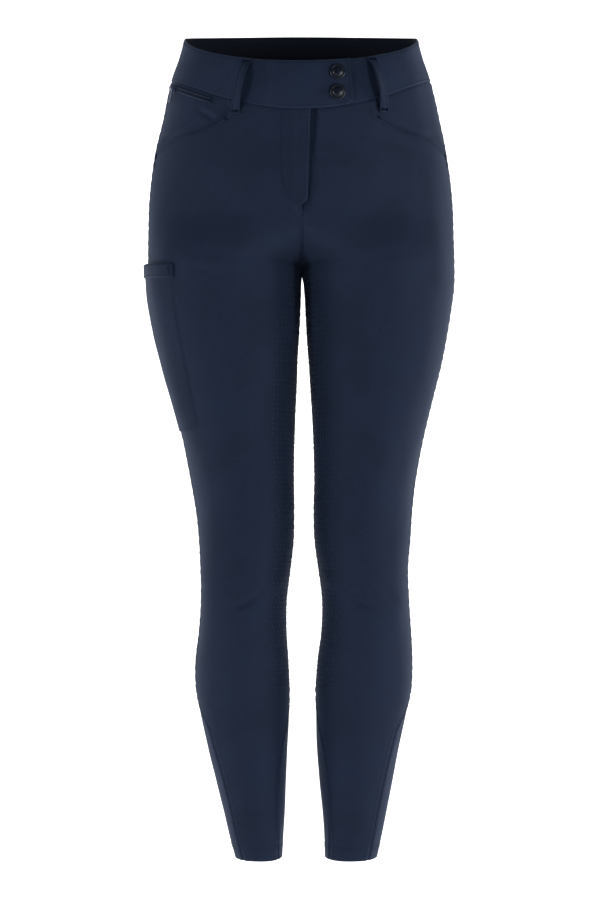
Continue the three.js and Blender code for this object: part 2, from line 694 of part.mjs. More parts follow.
function pocketHem() {
  const columns = 9;
  const rows = 3;
  const at = (lift) => (column, row) => {
    const t = column / columns;
    const angle = HEM_FRONT + (HEM_BACK - HEM_FRONT) * t;
    const belly = HEM_BELLY * Math.sin(Math.PI * t) ** HEM_BELLY_POWER;
    const z = POCKET_TOP - POCKET_TILT * (1 - t) - (POCKET_HEM * row) / rows;
    return raised(-1, angle, z, SEAM_GAP + belly + lift);
  };
  return wall(columns, rows, at(HEM_CLOTH), at(0));
}

function zipTape() {
  const columns = 8;
  const at = (lift) => (column, row) => {
    const angle = ZIP_INNER + ((ZIP_OUTER - ZIP_INNER) * column) / columns;
    const z = ZIP_Z + ZIP_HALF * (1 - row);
    return raised(-1, angle, rowHeight(angle, z), lift);
  };
  return wall(columns, 2, at(SEAM_GAP + ZIP_CLOTH), at(SEAM_GAP));
}

function solid(geometry) {
  geometry.deleteAttribute('normal');
  geometry.deleteAttribute('uv');
  const merged = mergeVertices(geometry, 1e-4);
  return new wasm.Manifold(new wasm.Mesh({
    numProp: 3,
    vertProperties: merged.attributes.position.array,
    triVerts: new Uint32Array(merged.index.array),
  }));
}

function fromSolid(body) {
  const mesh = body.getMesh();
  const geometry = new THREE.BufferGeometry();
  geometry.setAttribute('position', new THREE.BufferAttribute(mesh.vertProperties, 3));
  geometry.setIndex(new THREE.BufferAttribute(mesh.triVerts, 1));
  return geometry;
}

// An outline in the plane across the pin, made as wide along the pin as it is told
function acrossPin(shape, width, start) {
  const body = new THREE.ExtrudeGeometry(shape, { depth: width, bevelEnabled: false, curveSegments: 10 });
  return body.applyMatrix4(new THREE.Matrix4().makeBasis(
    new THREE.Vector3(0, 1, 0),
    new THREE.Vector3(0, 0, 1),
    new THREE.Vector3(1, 0, 0),
  )).translate(start, 0, 0);
}

// The slider: a flat base with two lugs that hold the pin of the pull
function zipSlider() {
  const base = new THREE.BoxGeometry(SLIDER_LENGTH, SLIDER_WIDTH, SLIDER_BASE);
  base.translate(0, SLIDER_SHIFT, SLIDER_BASE / 2);
  let body = solid(base);
  const lug = new THREE.Shape();
  lug.moveTo(-LUG_HALF, SLIDER_BASE - LUG_SINK);
  lug.lineTo(LUG_HALF, SLIDER_BASE - LUG_SINK);
  lug.absarc(0, PIN_HEIGHT, LUG_ROUND, 0, Math.PI, false);
  const pin = new THREE.CylinderGeometry(PIN_RADIUS, PIN_RADIUS, PULL_WIDTH + LUG + 0.6, 14);
  pin.rotateZ(Math.PI / 2).translate(0, 0, PIN_HEIGHT);
  const inside = PULL_WIDTH / 2 + SEAM_GAP;
  for (const piece of [acrossPin(lug, LUG, inside), acrossPin(lug, LUG, -inside - LUG), pin]) {
    body = body.add(solid(piece));
  }
  return fromSolid(body);
}

// The pull: a flat tab whose eye turns on the pin
function zipPull() {
  const outline = new THREE.Shape();
  const low = PIN_HEIGHT - EYE_OUTER;
  const high = low + PULL_CLOTH;
  const tip = PULL_CLOTH / 2;
  outline.moveTo(0, low);
  outline.lineTo(PULL_LENGTH - tip, low);
  outline.absarc(PULL_LENGTH - tip, low + tip, tip, -Math.PI / 2, Math.PI / 2, false);
  outline.lineTo(PULL_MEET, high);
  const meet = Math.atan2(high - PIN_HEIGHT, PULL_MEET);
  outline.absarc(0, PIN_HEIGHT, EYE_OUTER, meet, -Math.PI / 2, false);
  const eye = new THREE.Path();
  eye.absarc(0, PIN_HEIGHT, EYE_INNER, 0, 2 * Math.PI, true);
  outline.holes.push(eye);
  return fromSolid(solid(acrossPin(outline, PULL_WIDTH, -PULL_WIDTH / 2)));
}

for (const { side, word } of [{ side: -1, word: 'right' }, { side: 1, word: 'left' }]) {
  add(`front_${word}`, frontPanel(side), COLOURS.cloth);
  add(`back_${word}`, backPanel(side), COLOURS.cloth);
  add(`hip_facing_${word}`, hipFacing(side), COLOURS.cloth);
  add(`calf_insert_${word}`, calfInsert(side), COLOURS.stretch);
}

add('waistband_right', rightBand(), COLOURS.cloth);
add('waistband_left', leftBand(), COLOURS.cloth);
add('waistband_back', backBand(), COLOURS.cloth);
add('fly_underlap', flyUnderlap(), COLOURS.cloth);

for (const loop of LOOPS) add(loop.name, beltLoop(loop.side, loop.angle), COLOURS.cloth);

for (const { name, z } of SNAPS) {
  const place = frameOn(1, angleAt(1, -1, z, SNAP_X), z, SNAP_LIFT);
  add(name, snap(), COLOURS.snap).applyMatrix4(place);
}

add('thigh_pocket', thighPocket(), COLOURS.cloth);
add('thigh_pocket_hem', pocketHem(), COLOURS.cloth);

const sliderPlace = frameOn(-1, SLIDER_ANGLE, rowHeight(SLIDER_ANGLE, ZIP_Z), SLIDER_LIFT);
add('zip_tape', zipTape(), COLOURS.zip);
add('zip_slider', zipSlider(), COLOURS.zip).applyMatrix4(sliderPlace);
add('zip_pull', zipPull(), COLOURS.zip).applyMatrix4(sliderPlace);

export default breeches;
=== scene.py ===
import math

import bmesh
import bpy
import numpy as np
from mathutils import Matrix, Vector


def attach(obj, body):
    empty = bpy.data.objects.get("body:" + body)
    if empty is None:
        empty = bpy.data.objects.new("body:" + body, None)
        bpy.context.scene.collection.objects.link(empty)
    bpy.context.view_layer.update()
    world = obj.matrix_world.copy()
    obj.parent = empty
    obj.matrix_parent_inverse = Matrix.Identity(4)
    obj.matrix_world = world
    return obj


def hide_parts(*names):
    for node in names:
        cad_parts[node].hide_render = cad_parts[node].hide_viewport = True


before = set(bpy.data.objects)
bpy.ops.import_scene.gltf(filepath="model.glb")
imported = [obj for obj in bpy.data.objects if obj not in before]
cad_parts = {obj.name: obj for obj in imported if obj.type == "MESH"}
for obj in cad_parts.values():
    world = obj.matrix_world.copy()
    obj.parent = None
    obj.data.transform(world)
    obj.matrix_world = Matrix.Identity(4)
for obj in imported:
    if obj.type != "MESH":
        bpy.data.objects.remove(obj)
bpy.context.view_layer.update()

MM = 0.001

# ---------------------------------------------------------------- sizes, in millimetres
CLOTH = 1.4
BAND_CLOTH = 2.4
BAND_PROUD = 0.5
SEAM_GAP = 0.12
LAP_LIFT = 1.7
POCKET_DIP = 2.2
TAB_LIFT = 3.2
CROTCH = -240
FRONT_FORK_START = -180
BACK_FORK_START = -140
BAND_SIDE = -25
TILT_END = -175
CALF_TOP = -741
HEM = -930
SIDE_SEAM = -8
LEGS_PART = -252
CENTRE_ZONE = 7
LEGS_TOUCH = 0.12
VALLEY_DEPTH, VALLEY_HALF = 17, 10
HIP_FULLNESS = 0.02
THIGH_FULLNESS = 0.06
RIGHT, LEFT = -1, 1

# Half sections, one row for each height: reach of each side, half of the space between the legs,
# depths at the front and back, and the widest line. The same rows shape the CAD solids.
SECTION_COLUMNS = ("z", "out_right", "out_left", "gap_right", "gap_left", "front", "back", "mid")
SECTIONS = [
    (60, 129, 127, 0, 0, -100, 100, 0),
    (27, 136, 134, 0, 0, -104, 104, 0),
    (2, 143, 141, 0, 0, -108, 109, 0),
    (-21, 151.5, 149.5, 0, 0, -112, 114, 0),
    (-45, 157.5, 156, 0, 0, -114, 119, 1),
    (-68, 162, 161, 0, 0, -114, 123, 2),
    (-103, 170, 168, 0, 0, -113, 130, 4),
    (-138, 175, 173.5, 0, 0, -111, 136, 6),
    (-173, 179, 177, 0, 0, -107, 139, 8),
    (-208, 180.5, 177.5, 0, 0, -102, 136, 9),
    (-240, 180.5, 178, 0.3, 0.3, -97, 124, 9),
    (-261, 179.5, 177.8, 0.8, 2.0, -93, 113, 8),
    (-278, 177.5, 176, 1.4, 3.6, -90, 106, 7),
    (-314, 170.5, 170.8, 2.9, 5.3, -86, 97, 5),
    (-349, 162.5, 164.4, 5.3, 7.6, -83, 91, 4),
    (-384, 154.2, 156.2, 6.8, 9.9, -80, 87, 3.5),
    (-419, 145.5, 148, 8.8, 12.3, -76, 82, 3),
    (-454, 136.3, 139.8, 10.2, 14.2, -72, 76, 2),
    (-489, 129.3, 132.8, 9.9, 14.6, -69, 69, 0),
    (-524, 123.4, 128.1, 8.8, 13.5, -67, 62, -2.5),
    (-559, 119.9, 125.8, 9.2, 14.2, -66, 56, -5),
    (-594, 118.8, 123.8, 13.5, 19.3, -64, 53, -5.5),
    (-629, 118.8, 125.8, 18.1, 24, -61, 54, -3.5),
    (-664, 121, 128.1, 18.1, 23.4, -56, 59, 1.5),
    (-700, 124.2, 129.3, 15, 18.1, -50, 66, 8),
    (-735, 123.4, 127.6, 13.7, 15.8, -45, 70, 12.5),
    (-770, 117.4, 121, 15, 16.8, -41, 70, 14.5),
    (-805, 110.2, 114, 17.8, 18.3, -38, 66, 14),
    (-840, 102, 107.6, 19.1, 20.7, -36, 59, 11.5),
    (-875, 93.4, 100.4, 19.5, 23.6, -34, 52, 9),
    (-910, 84.2, 93.3, 20.5, 25.2, -32, 47, 7.5),
    (-945, 74, 86, 21.8, 25.2, -30.5, 44, 7),
]

# Folds: side, angle, z, slope from level, half length, half width, how far the cloth goes in
FOLDS = [
    (-1, -92, -631, -26, 14, 3.4, 2.8),
    (-1, -129, -616, -40, 20, 7, -2.0),
    (-1, 92, -592, -6, 34, 7, 3.2),
    (-1, 78, -628, 10, 26, 7, 2.6),
    (-1, 106, -563, -12, 24, 8, 2.2),
    (-1, 98, -268, 8, 44, 11, 3.6),
    (1, -95, -632, -28, 12, 3.2, 2.6),
    (1, -78, -630, -14, 9, 3.4, 1.7),
    (1, -59, -621, -42, 13, 5, 2.0),
    (1, -134, -609, -38, 16, 7, -1.8),
    (1, 88, -596, 5, 34, 7, 3.2),
    (1, 104, -632, -9, 25, 7, 2.4),
    (1, 80, -566, 14, 26, 8, 2.4),
    (1, 96, -270, -7, 42, 11, 3.4),
    (1, -118, -222, 28, 20, 7, 1.6),
]

# Finer creases that only the cloth here has, in the same columns
CREASES = [
    (-1, -106, -620, -30, 12, 3.0, 0.8),
    (-1, -84, -646, -24, 11, 3.0, 0.7),
    (-1, -111, -662, 4, 6, 2.2, 0.6),
    (-1, -110, -677, -4, 6, 2.2, 0.6),
    (-1, -49.5, -75, 27, 11, 3.2, 2.4),
    (-1, -60, -612, -18, 14, 4.0, 0.7),
    (-1, 84, -604, 4, 26, 3.4, 1.1),
    (-1, 100, -616, -10, 22, 3.2, 1.0),
    (-1, 88, -575, 8, 20, 3.6, 0.8),
    (-1, 120, -598, -20, 16, 3.4, 0.8),
    (-1, 60, -600, 16, 16, 3.6, 0.8),
    (-1, 104, -284, 12, 30, 4.4, 1.2),
    (-1, 86, -255, 4, 26, 4.2, 1.0),
    (-1, -20, -612, 10, 16, 4.2, 0.6),
    (-1, -150, -262, 40, 16, 3.6, 0.9),
    (-1, 150, -262, -36, 22, 4.4, 1.3),
    (-1, -82, -885, 6, 18, 4.2, 0.5),
    (-1, 96, -880, -8, 22, 4.4, 0.7),
    (-1, -76, -250, 22, 20, 4.4, 0.5),
    (1, -104, -618, -24, 13, 3.2, 0.8),
    (1, -84, -645, -28, 11, 3.0, 0.7),
    (1, -68, -638, -22, 9, 2.8, 0.7),
    (1, 96, -607, -5, 26, 3.4, 1.1),
    (1, 78, -618, 9, 22, 3.2, 1.0),
    (1, 92, -578, -7, 20, 3.6, 0.8),
    (1, 118, -600, 18, 16, 3.4, 0.8),
    (1, 58, -604, -14, 16, 3.6, 0.8),
    (1, 84, -285, -12, 30, 4.4, 1.2),
    (1, 104, -256, -3, 26, 4.2, 1.0),
    (1, -22, -610, -8, 16, 4.2, 0.6),
    (1, -150, -262, -42, 16, 3.6, 0.9),
    (1, 150, -264, 34, 22, 4.4, 1.3),
    (1, -88, -888, -5, 18, 4.2, 0.5),
    (1, 90, -882, 9, 22, 4.4, 0.7),
    (1, -122, -232, 26, 18, 3.4, 0.8),
]

# Edge of the slanted pocket mouth
MOUTH_COLUMNS = ("z", "angle")
MOUTH = [
    (-25, -58.5),
    (-42, -59),
    (-54, -56.5),
    (-66, -52),
    (-79, -45.5),
    (-89, -34),
    (-103, -22),
    (-113, -15),
    (-122, -8),
]

# Edges of the calf insert
INSERT_COLUMNS = ("z", "outer", "inner")
INSERT_EDGE = [
    (-741, -8, -180),
    (-752, -15, -176),
    (-764, -27, -170),
    (-778, -37, -160),
    (-800, -41, -148),
    (-830, -45, -140),
    (-870, -48, -136),
    (-905, -50, -139),
    (-930, -53, -141),
]

# Fly and tab
FLY_TOP_LAP, FLY_FOOT_LAP = 9, 6
FLY_FOOT, FLY_LAP_END, FLY_END = -172, -178.5, -191.5
FLY_RAMP = 12
TAB_REACH, TAB_CORNER, UNDERLAP_REACH = 55.5, 8, 28

# Belt loops: name, side, angle, how far it stands off the band and reaches below it,
# slant in degrees and tilt of its edges
LOOPS = [
    ("belt_loop_front_right", -1, -66, 7.5, 13, 3.0, 3.2),
    ("belt_loop_front_left", 1, -58.5, 7.0, 16, 2.5, 3.2),
    ("belt_loop_back_right", -1, 60, 9.5, 9, 0, 0.6),
    ("belt_loop_back_left", 1, 60, 9.5, 9, 0, 0.6),
    ("belt_loop_back_centre", 1, 90, 9.5, 9, 0, 0.3),
]
LOOP_WIDTH, LOOP_CLOTH, LOOP_SEAT = 10.5, 1.8, 0.85

# Thigh pocket
POCKET_FRONT, POCKET_BACK, POCKET_TOP, POCKET_TILT, POCKET_HEM, POCKET_FOOT = -53, 13, -236, 6.5, 15, -432
POCKET_BELLY, POCKET_CORNER, HEM_CLOTH = 2.6, 14, 2.8

# Zip
ZIP_Z, ZIP_INNER, ZIP_OUTER, ZIP_HALF, ZIP_CLOTH = -33.5, -50, -17, 3.4, 1.2
SLIDER_ANGLE, SLIDER_WIDTH, SLIDER_LENGTH, SLIDER_BASE = -23, 8, 9, 1.6
PIN_RADIUS, EYE_INNER, EYE_OUTER = 0.8, 1.15, 2.1
PULL_WIDTH, PULL_LENGTH, PULL_CLOTH = 4.9, 17, 1.4
PIN_HEIGHT = SLIDER_BASE + EYE_OUTER + 0.35

# Snaps
SNAP_X = 39
SNAPS = [("snap_upper", -31), ("snap_lower", -53.5)]

# Sewing
STITCH_PITCH, STITCH_LENGTH, THREAD = 3.4, 2.7, 0.55
DOT_PITCH, DOT_DIAMETER, DOT_HEIGHT = 6.4, 2.2, 0.5


# ---------------------------------------------------------------- form
def smooth(low, high, value):
    t = np.clip((value - low) / (high - low), 0, 1)
    return t * t * (3 - 2 * t)


def follow(table, names, column):
    """A smooth curve through one column of a table whose rows run downwards."""
    z = np.array([row[0] for row in table], float)
    v = np.array([row[names.index(column)] for row in table], float)
    k = np.arange(len(z))
    before, after = np.maximum(k - 1, 0), np.minimum(k + 1, len(z) - 1)
    slope = (v[after] - v[before]) / (z[after] - z[before])

    def at(height):
        h = np.clip(height, z[-1], z[0])
        i = np.clip(np.searchsorted(-z, -h, side="right") - 1, 0, len(z) - 2)
        span = z[i + 1] - z[i]
        t = (h - z[i]) / span
        return (
            (2 * t**3 - 3 * t**2 + 1) * v[i]
            + (t**3 - 2 * t**2 + t) * span * slope[i]
            + (3 * t**2 - 2 * t**3) * v[i + 1]
            + (t**3 - t**2) * span * slope[i + 1]
        )

    return at


out_of = {RIGHT: follow(SECTIONS, SECTION_COLUMNS, "out_right"), LEFT: follow(SECTIONS, SECTION_COLUMNS, "out_left")}
leg_gap = {RIGHT: follow(SECTIONS, SECTION_COLUMNS, "gap_right"), LEFT: follow(SECTIONS, SECTION_COLUMNS, "gap_left")}
gap_of = {
    side: lambda z, gap=gap: (gap(z) + LEGS_TOUCH) * smooth(-LEGS_PART - 3, 7 - LEGS_PART, -z) - LEGS_TOUCH
    for side, gap in leg_gap.items()
}
front_depth = follow(SECTIONS, SECTION_COLUMNS, "front")
back_depth = follow(SECTIONS, SECTION_COLUMNS, "back")
middle = follow(SECTIONS, SECTION_COLUMNS, "mid")
mouth_angle = follow(MOUTH, MOUTH_COLUMNS, "angle")
insert_outer = follow(INSERT_EDGE, INSERT_COLUMNS, "outer")
insert_inner = follow(INSERT_EDGE, INSERT_COLUMNS, "inner")


def half_section(side, angle, z):
    """Centre and half width of one side's section, which forks from trunk to leg."""
    out, gap = out_of[side](z), gap_of[side](z)
    start = np.where(angle < 0, FRONT_FORK_START, BACK_FORK_START)
    t = np.clip((start - z) / (start - CROTCH), 0, 1)
    forked = 1 - (1 - t) ** 1.5 * (1 + 1.5 * t)
    below = z <= CROTCH
    centre = np.where(below, (out + gap) / 2, out * forked / (1 + forked))
    half = np.where(below, (out - gap) / 2, out / (1 + forked))
    return centre, half


def body_point(side, angle, z):
    """A point of the outer face: 0 degrees is the outer side, -90 front, +90 back."""
    angle, z = np.broadcast_arrays(np.asarray(angle, float), np.asarray(z, float))
    centre, half = half_section(side, angle, z)
    turn = np.radians(angle)
    fullness = HIP_FULLNESS + (THIGH_FULLNESS - HIP_FULLNESS) * smooth(-150, CROTCH, z) * smooth(-520, -300, z)
    full = 1 + fullness * np.sin(2 * turn) ** 2
    mid = middle(z)
    depth = np.where(angle < 0, mid - front_depth(z), back_depth(z) - mid)
    x = side * (centre + half * full * np.cos(turn))
    return np.stack([x, mid + depth * full * np.sin(turn), z], -1)


def unit(v):
    return v / np.maximum(np.linalg.norm(v, axis=-1, keepdims=True), 1e-9)


def body_normal(side, angle, z):
    round_ = body_point(side, angle + 0.4, z) - body_point(side, angle - 0.4, z)
    up = body_point(side, angle, z + 0.6) - body_point(side, angle, z - 0.6)
    return unit(np.cross(round_, up)) * side


def fold_depth(side, angle, z):
    depth = np.zeros(np.broadcast(angle, z).shape)
    _, half = half_section(side, np.asarray(angle, float), np.asarray(z, float))
    wrapped = np.where(np.asarray(angle) > 180, np.asarray(angle) - 360, angle)
    for table, ridge in ((FOLDS, 0.0), (CREASES, 0.45)):
        for fold_side, fold_angle, fold_z, slope, run, reach, fold in table:
            if fold_side != side:
                continue
            off = (wrapped - fold_angle + 180) % 360 - 180
            round_, rise = np.radians(off) * half, z - fold_z
            turn = math.radians(slope)
            along = (round_ * math.cos(turn) + rise * math.sin(turn)) / run
            across = (rise * math.cos(turn) - round_ * math.sin(turn)) / reach
            near = np.abs(rise) < 60
            shape = np.exp(-across**2) - ridge * np.exp(-(across - 1.7) ** 2)
            depth = depth + near * fold * np.exp(-along**2) * shape
    return depth


# A slight unevenness of the whole cloth, the same on every panel that meets at a seam
RIPPLES = np.random.default_rng(11)
WAVES = [
    (unit(RIPPLES.normal(size=3) * [1.0, 1.0, 0.7]) * 2 * math.pi / wave, RIPPLES.uniform(0, 6.28), size)
    for wave, size in ((150, 0.5), (120, 0.45), (95, 0.4), (78, 0.3), (60, 0.22), (47, 0.16), (34, 0.1), (27, 0.07))
]


def uneven(p):
    return sum(size * np.sin(p @ direction + phase) for direction, phase, size in WAVES)


def calm(side, angle, z):
    """1 where the cloth is free to move along its normal, 0 where it would cross the centre line at the crotch."""
    facing_centre = np.clip(-side * body_normal(side, angle, z)[..., 0], 0, 1)
    return 1 - smooth(-310, -245, np.asarray(z, float)) * facing_centre**2


def raised(side, angle, z, lift=0.0):
    p = body_point(side, angle, z)
    push = lift + (uneven(p) - fold_depth(side, angle, z)) * calm(side, angle, z)
    move = body_normal(side, angle, z) * np.asarray(push)[..., None]
    near_centre = np.clip(np.abs(p[..., 0]) / CENTRE_ZONE, 0, 1)
    above = smooth(LEGS_PART - 14, LEGS_PART + 4, np.asarray(z, float))
    move[..., 0] = move[..., 0] * (near_centre + (1 - near_centre) * (1 - above))
    valley = smooth(200, 250, -np.asarray(z, float)) * (1 - smooth(258, 330, -np.asarray(z, float)))
    forward = np.clip((middle(z) - p[..., 1]) / 30, 0, 1)
    move[..., 1] = move[..., 1] + VALLEY_DEPTH * valley * forward * np.exp(-((np.abs(p[..., 0]) / VALLEY_HALF) ** 1.4))
    return p + move


def angle_at(side, end, z, x):
    """Angle at which a section reaches a distance from the centre line, found by halving."""
    z = np.asarray(z, float)
    near, far = np.zeros_like(z), np.full_like(z, 180.0)
    for _ in range(40):
        angle = (near + far) / 2
        beyond = side * body_point(side, end * angle, z)[..., 0] > x
        near, far = np.where(beyond, angle, near), np.where(beyond, far, angle)
    return end * near


def degrees_for(side, angle, z, length=1.0):
    step = body_point(side, angle + 0.5, z) - body_point(side, angle - 0.5, z)
    return length / np.linalg.norm(step, axis=-1)


def band_top(angle):
    s = np.sin(np.radians(angle))
    return 27 + np.where(s < 0, 33 * s - 13 * s * s, 20 * s)


def band_foot(angle):
    s = np.sin(np.radians(angle))
    return BAND_SIDE + np.where(s < 0, -46.5, 18) * np.abs(s) ** 2.3


def row_height(angle, z):
    """Rows start along the waistband and are level from the hip down."""
    tilt = 1 - smooth(0, 1, (BAND_SIDE - z) / (BAND_SIDE - TILT_END))
    return z + (band_foot(angle) - BAND_SIDE) * tilt


# ---------------------------------------------------------------- meshes
def in_scene(name, data):
    obj = bpy.data.objects.new(name, data)
    bpy.context.scene.collection.objects.link(obj)
    return obj


def mesh_object(name, points, faces, uvs=None, sharp=48):
    """An object from points in millimetres, with one UV pair for each point."""
    mesh = bpy.data.meshes.new(name)
    mesh.from_pydata((np.asarray(points) * MM).tolist(), [], faces)
    mesh.shade_smooth()
    mesh.set_sharp_from_angle(angle=math.radians(sharp))
    if uvs is not None:
        layer = mesh.uv_layers.new(name="cloth")
        corners = np.empty(len(mesh.loops), int)
        mesh.loops.foreach_get("vertex_index", corners)
        layer.data.foreach_set("uv", (np.asarray(uvs)[corners] * MM).ravel())
    return in_scene(name, mesh)


def shell(name, outer, inner, uv, bulge=0.0):
    """A closed thin wall from two grids of points, with its rim rounded out by bulge."""
    rows, columns = outer.shape[:2]
    count = rows * columns
    ids = np.arange(count).reshape(rows, columns)
    a, b, c, d = ids[:-1, :-1], ids[1:, :-1], ids[1:, 1:], ids[:-1, 1:]
    front = np.stack([a, b, c, d], -1).reshape(-1, 4)
    faces = [front, front[:, ::-1] + count]
    ring = np.concatenate([ids[0, :-1], ids[:-1, -1], ids[-1, :0:-1], ids[:0:-1, 0]])
    inward = np.concatenate([ids[1, :-1], ids[:-1, -2], ids[-2, :0:-1], ids[:0:-1, 1]])
    flat_outer, flat_inner = outer.reshape(-1, 3), inner.reshape(-1, 3)
    away = unit(flat_outer[ring] - flat_outer[inward])
    mid = (flat_outer[ring] + flat_inner[ring]) / 2 + away * bulge
    mids = 2 * count + np.arange(len(ring))
    after, mids_after = np.roll(ring, -1), np.roll(mids, -1)
    faces.append(np.stack([ring, after, mids_after, mids], -1))
    faces.append(np.stack([mids, mids_after, after + count, ring + count], -1))
    faces = np.concatenate(faces)
    points = np.concatenate([flat_outer, flat_inner, mid])
    corner = points[faces]
    volume = np.einsum("ij,ij->i", corner[:, 0], np.cross(corner[:, 1], corner[:, 2])).sum()
    volume += np.einsum("ij,ij->i", corner[:, 0], np.cross(corner[:, 2], corner[:, 3])).sum()
    if volume < 0:
        faces = faces[:, ::-1]
    flat_uv = uv.reshape(-1, 2)
    uvs = np.concatenate([flat_uv, flat_uv, flat_uv[ring]])
    obj = mesh_object(name, points, faces.tolist(), uvs)
    # Marks the inner faces; the cloth materials paint them darker as painted shade
    inside = np.zeros(len(points))
    inside[count:2 * count] = 1
    obj.data.attributes.new("inside", "FLOAT", "POINT").data.foreach_set("value", inside)
    return obj


def lengths_uv(grid):
    """UV of a grid of points as real lengths along it, so that patterns keep their size."""
    across = np.linalg.norm(np.diff(grid, axis=1), axis=-1)
    u = np.concatenate([np.zeros((grid.shape[0], 1)), np.cumsum(across, 1)], 1)
    u = u - u[:, u.shape[1] // 2][:, None]
    down = np.linalg.norm(np.diff(grid, axis=0), axis=-1).mean(1)
    v = np.concatenate([[0], np.cumsum(down)])
    return np.stack([u, np.broadcast_to(-v[:, None], u.shape)], -1)


EDGE_STEPS = np.array([0, 0.3, 0.7, 1.2, 1.9, 2.8, 4.0, 5.6, 7.6])


def column_angles(side, z, first, last, columns):
    """Angles across a panel, close together at both edges. Returns them and millimetres from each edge."""
    way = np.sign(last - first)
    at_first, at_last = degrees_for(side, first, z), degrees_for(side, last, z)
    head = first[:, None] + (way * at_first)[:, None] * EDGE_STEPS
    tail = last[:, None] - (way * at_last)[:, None] * EDGE_STEPS[::-1]
    t = np.linspace(0, 1, columns)[1:-1]
    mid = head[:, -1:] + (tail[:, :1] - head[:, -1:]) * t
    angles = np.concatenate([head, mid, tail], 1)
    from_first = np.abs(angles - first[:, None]) / at_first[:, None]
    return angles, from_first, np.abs(angles - last[:, None]) / at_last[:, None]


def seam(distance, depth=1.0):
    """The cloth turns in at a seam and is a little full beside it."""
    return depth * (-0.95 * np.exp(-((distance / 1.5) ** 2)) + 0.38 * np.exp(-(((distance - 4.6) / 2.6) ** 2)))


def pucker(distance, along, size=0.22):
    wave = np.sin(along * 2 * math.pi / 11.3) + 0.6 * np.sin(along * 2 * math.pi / 7.1 + 1.3)
    return size * wave * np.exp(-((distance - 3.5) / 4.5) ** 2) * (distance > 0.6)


def heights(top, foot, pitch=3.0, dense_top=True, dense_foot=True):
    """Levels down a panel, closer together at its top and foot."""
    head = top - EDGE_STEPS if dense_top else np.array([top])
    tail = foot + EDGE_STEPS[::-1] if dense_foot else np.array([foot])
    steps = max(2, int(round((head[-1] - tail[0]) / pitch)))
    return np.concatenate([head, np.linspace(head[-1], tail[0], steps + 1)[1:-1], tail])


def panel(
    name, side, z, first, last, columns, lift=None, cloth=CLOTH, level_of=row_height, depths=(1, 1, 1, 0), bulge=0.0
):
    """A cloth panel between two edges. depths are how deep its seams are at first, last, top and foot."""
    angles, from_first, from_last = column_angles(side, z, first, last, columns)
    level = level_of(angles, z[:, None])
    along = z[:, None] + 0 * angles
    from_top, from_foot = z[0] - along, along - z[-1]
    edges = (from_first, from_last, from_top, from_foot)
    push = sum(seam(distance, depth) for distance, depth in zip(edges, depths))
    push = push + pucker(from_first, along) * depths[0] + pucker(from_last, along + 4) * depths[1]
    push = push * calm(side, angles, level)
    if lift is not None:
        push = push + lift(angles, z[:, None], level)
    inset = SEAM_GAP / 2
    level = level - inset * (from_top == 0) + inset * (from_foot == 0)
    outer = raised(side, angles, level, push)
    inner = raised(side, angles, level, push - cloth)
    return shell(name, outer, inner, lengths_uv(outer), bulge)


def inner_edge(side, end, z):
    level = row_height(90 * end, z)
    at_seam = angle_at(side, end, level, SEAM_GAP / 2)
    return np.where(level > CROTCH, at_seam, end * 180 - end * degrees_for(side, end * 180.0, z, SEAM_GAP / 2))


def fly_lap(level):
    top = band_foot(-90.0)
    lap = FLY_TOP_LAP + (FLY_FOOT_LAP - FLY_TOP_LAP) * (level - top) / (FLY_FOOT - top)
    return lap * (1 - smooth(-FLY_FOOT, -FLY_LAP_END, -level))


def right_fly_edge(z):
    level = row_height(-90, z)
    lap = fly_lap(level)
    return np.where(lap > 0.01, angle_at(RIGHT, -1, level, -lap), inner_edge(RIGHT, -1, z))


def fly_lift(angle, z, level):
    x = -body_point(RIGHT, angle, level)[..., 0]
    within = 1 - smooth(-FLY_LAP_END, -FLY_END, -level)
    edge = fly_lap(level) + x
    turned = 0.9 * np.exp(-((edge - 3) / 4) ** 2) * within
    return LAP_LIFT * (1 - smooth(1.5, FLY_RAMP, x)) * within + turned


def under_fly(angle, z, level):
    """The left front sinks in a narrow strip beside the fly's edge, where the zip lies behind it."""
    x = body_point(LEFT, angle, level)[..., 0]
    within = 1 - smooth(-FLY_LAP_END - 6, -FLY_END, -level)
    down = np.clip((level + 76) / (FLY_FOOT + 76), 0, 1)
    strip = 17 - 7.2 * down
    return -(3.2 - 0.8 * down) * (1 - smooth(strip - 1.0, strip + 0.9, x)) * within


def front_outer(z):
    return np.where(z > -122, mouth_angle(z), np.where(z >= CALF_TOP, SIDE_SEAM, insert_outer(z)))


pieces = {}

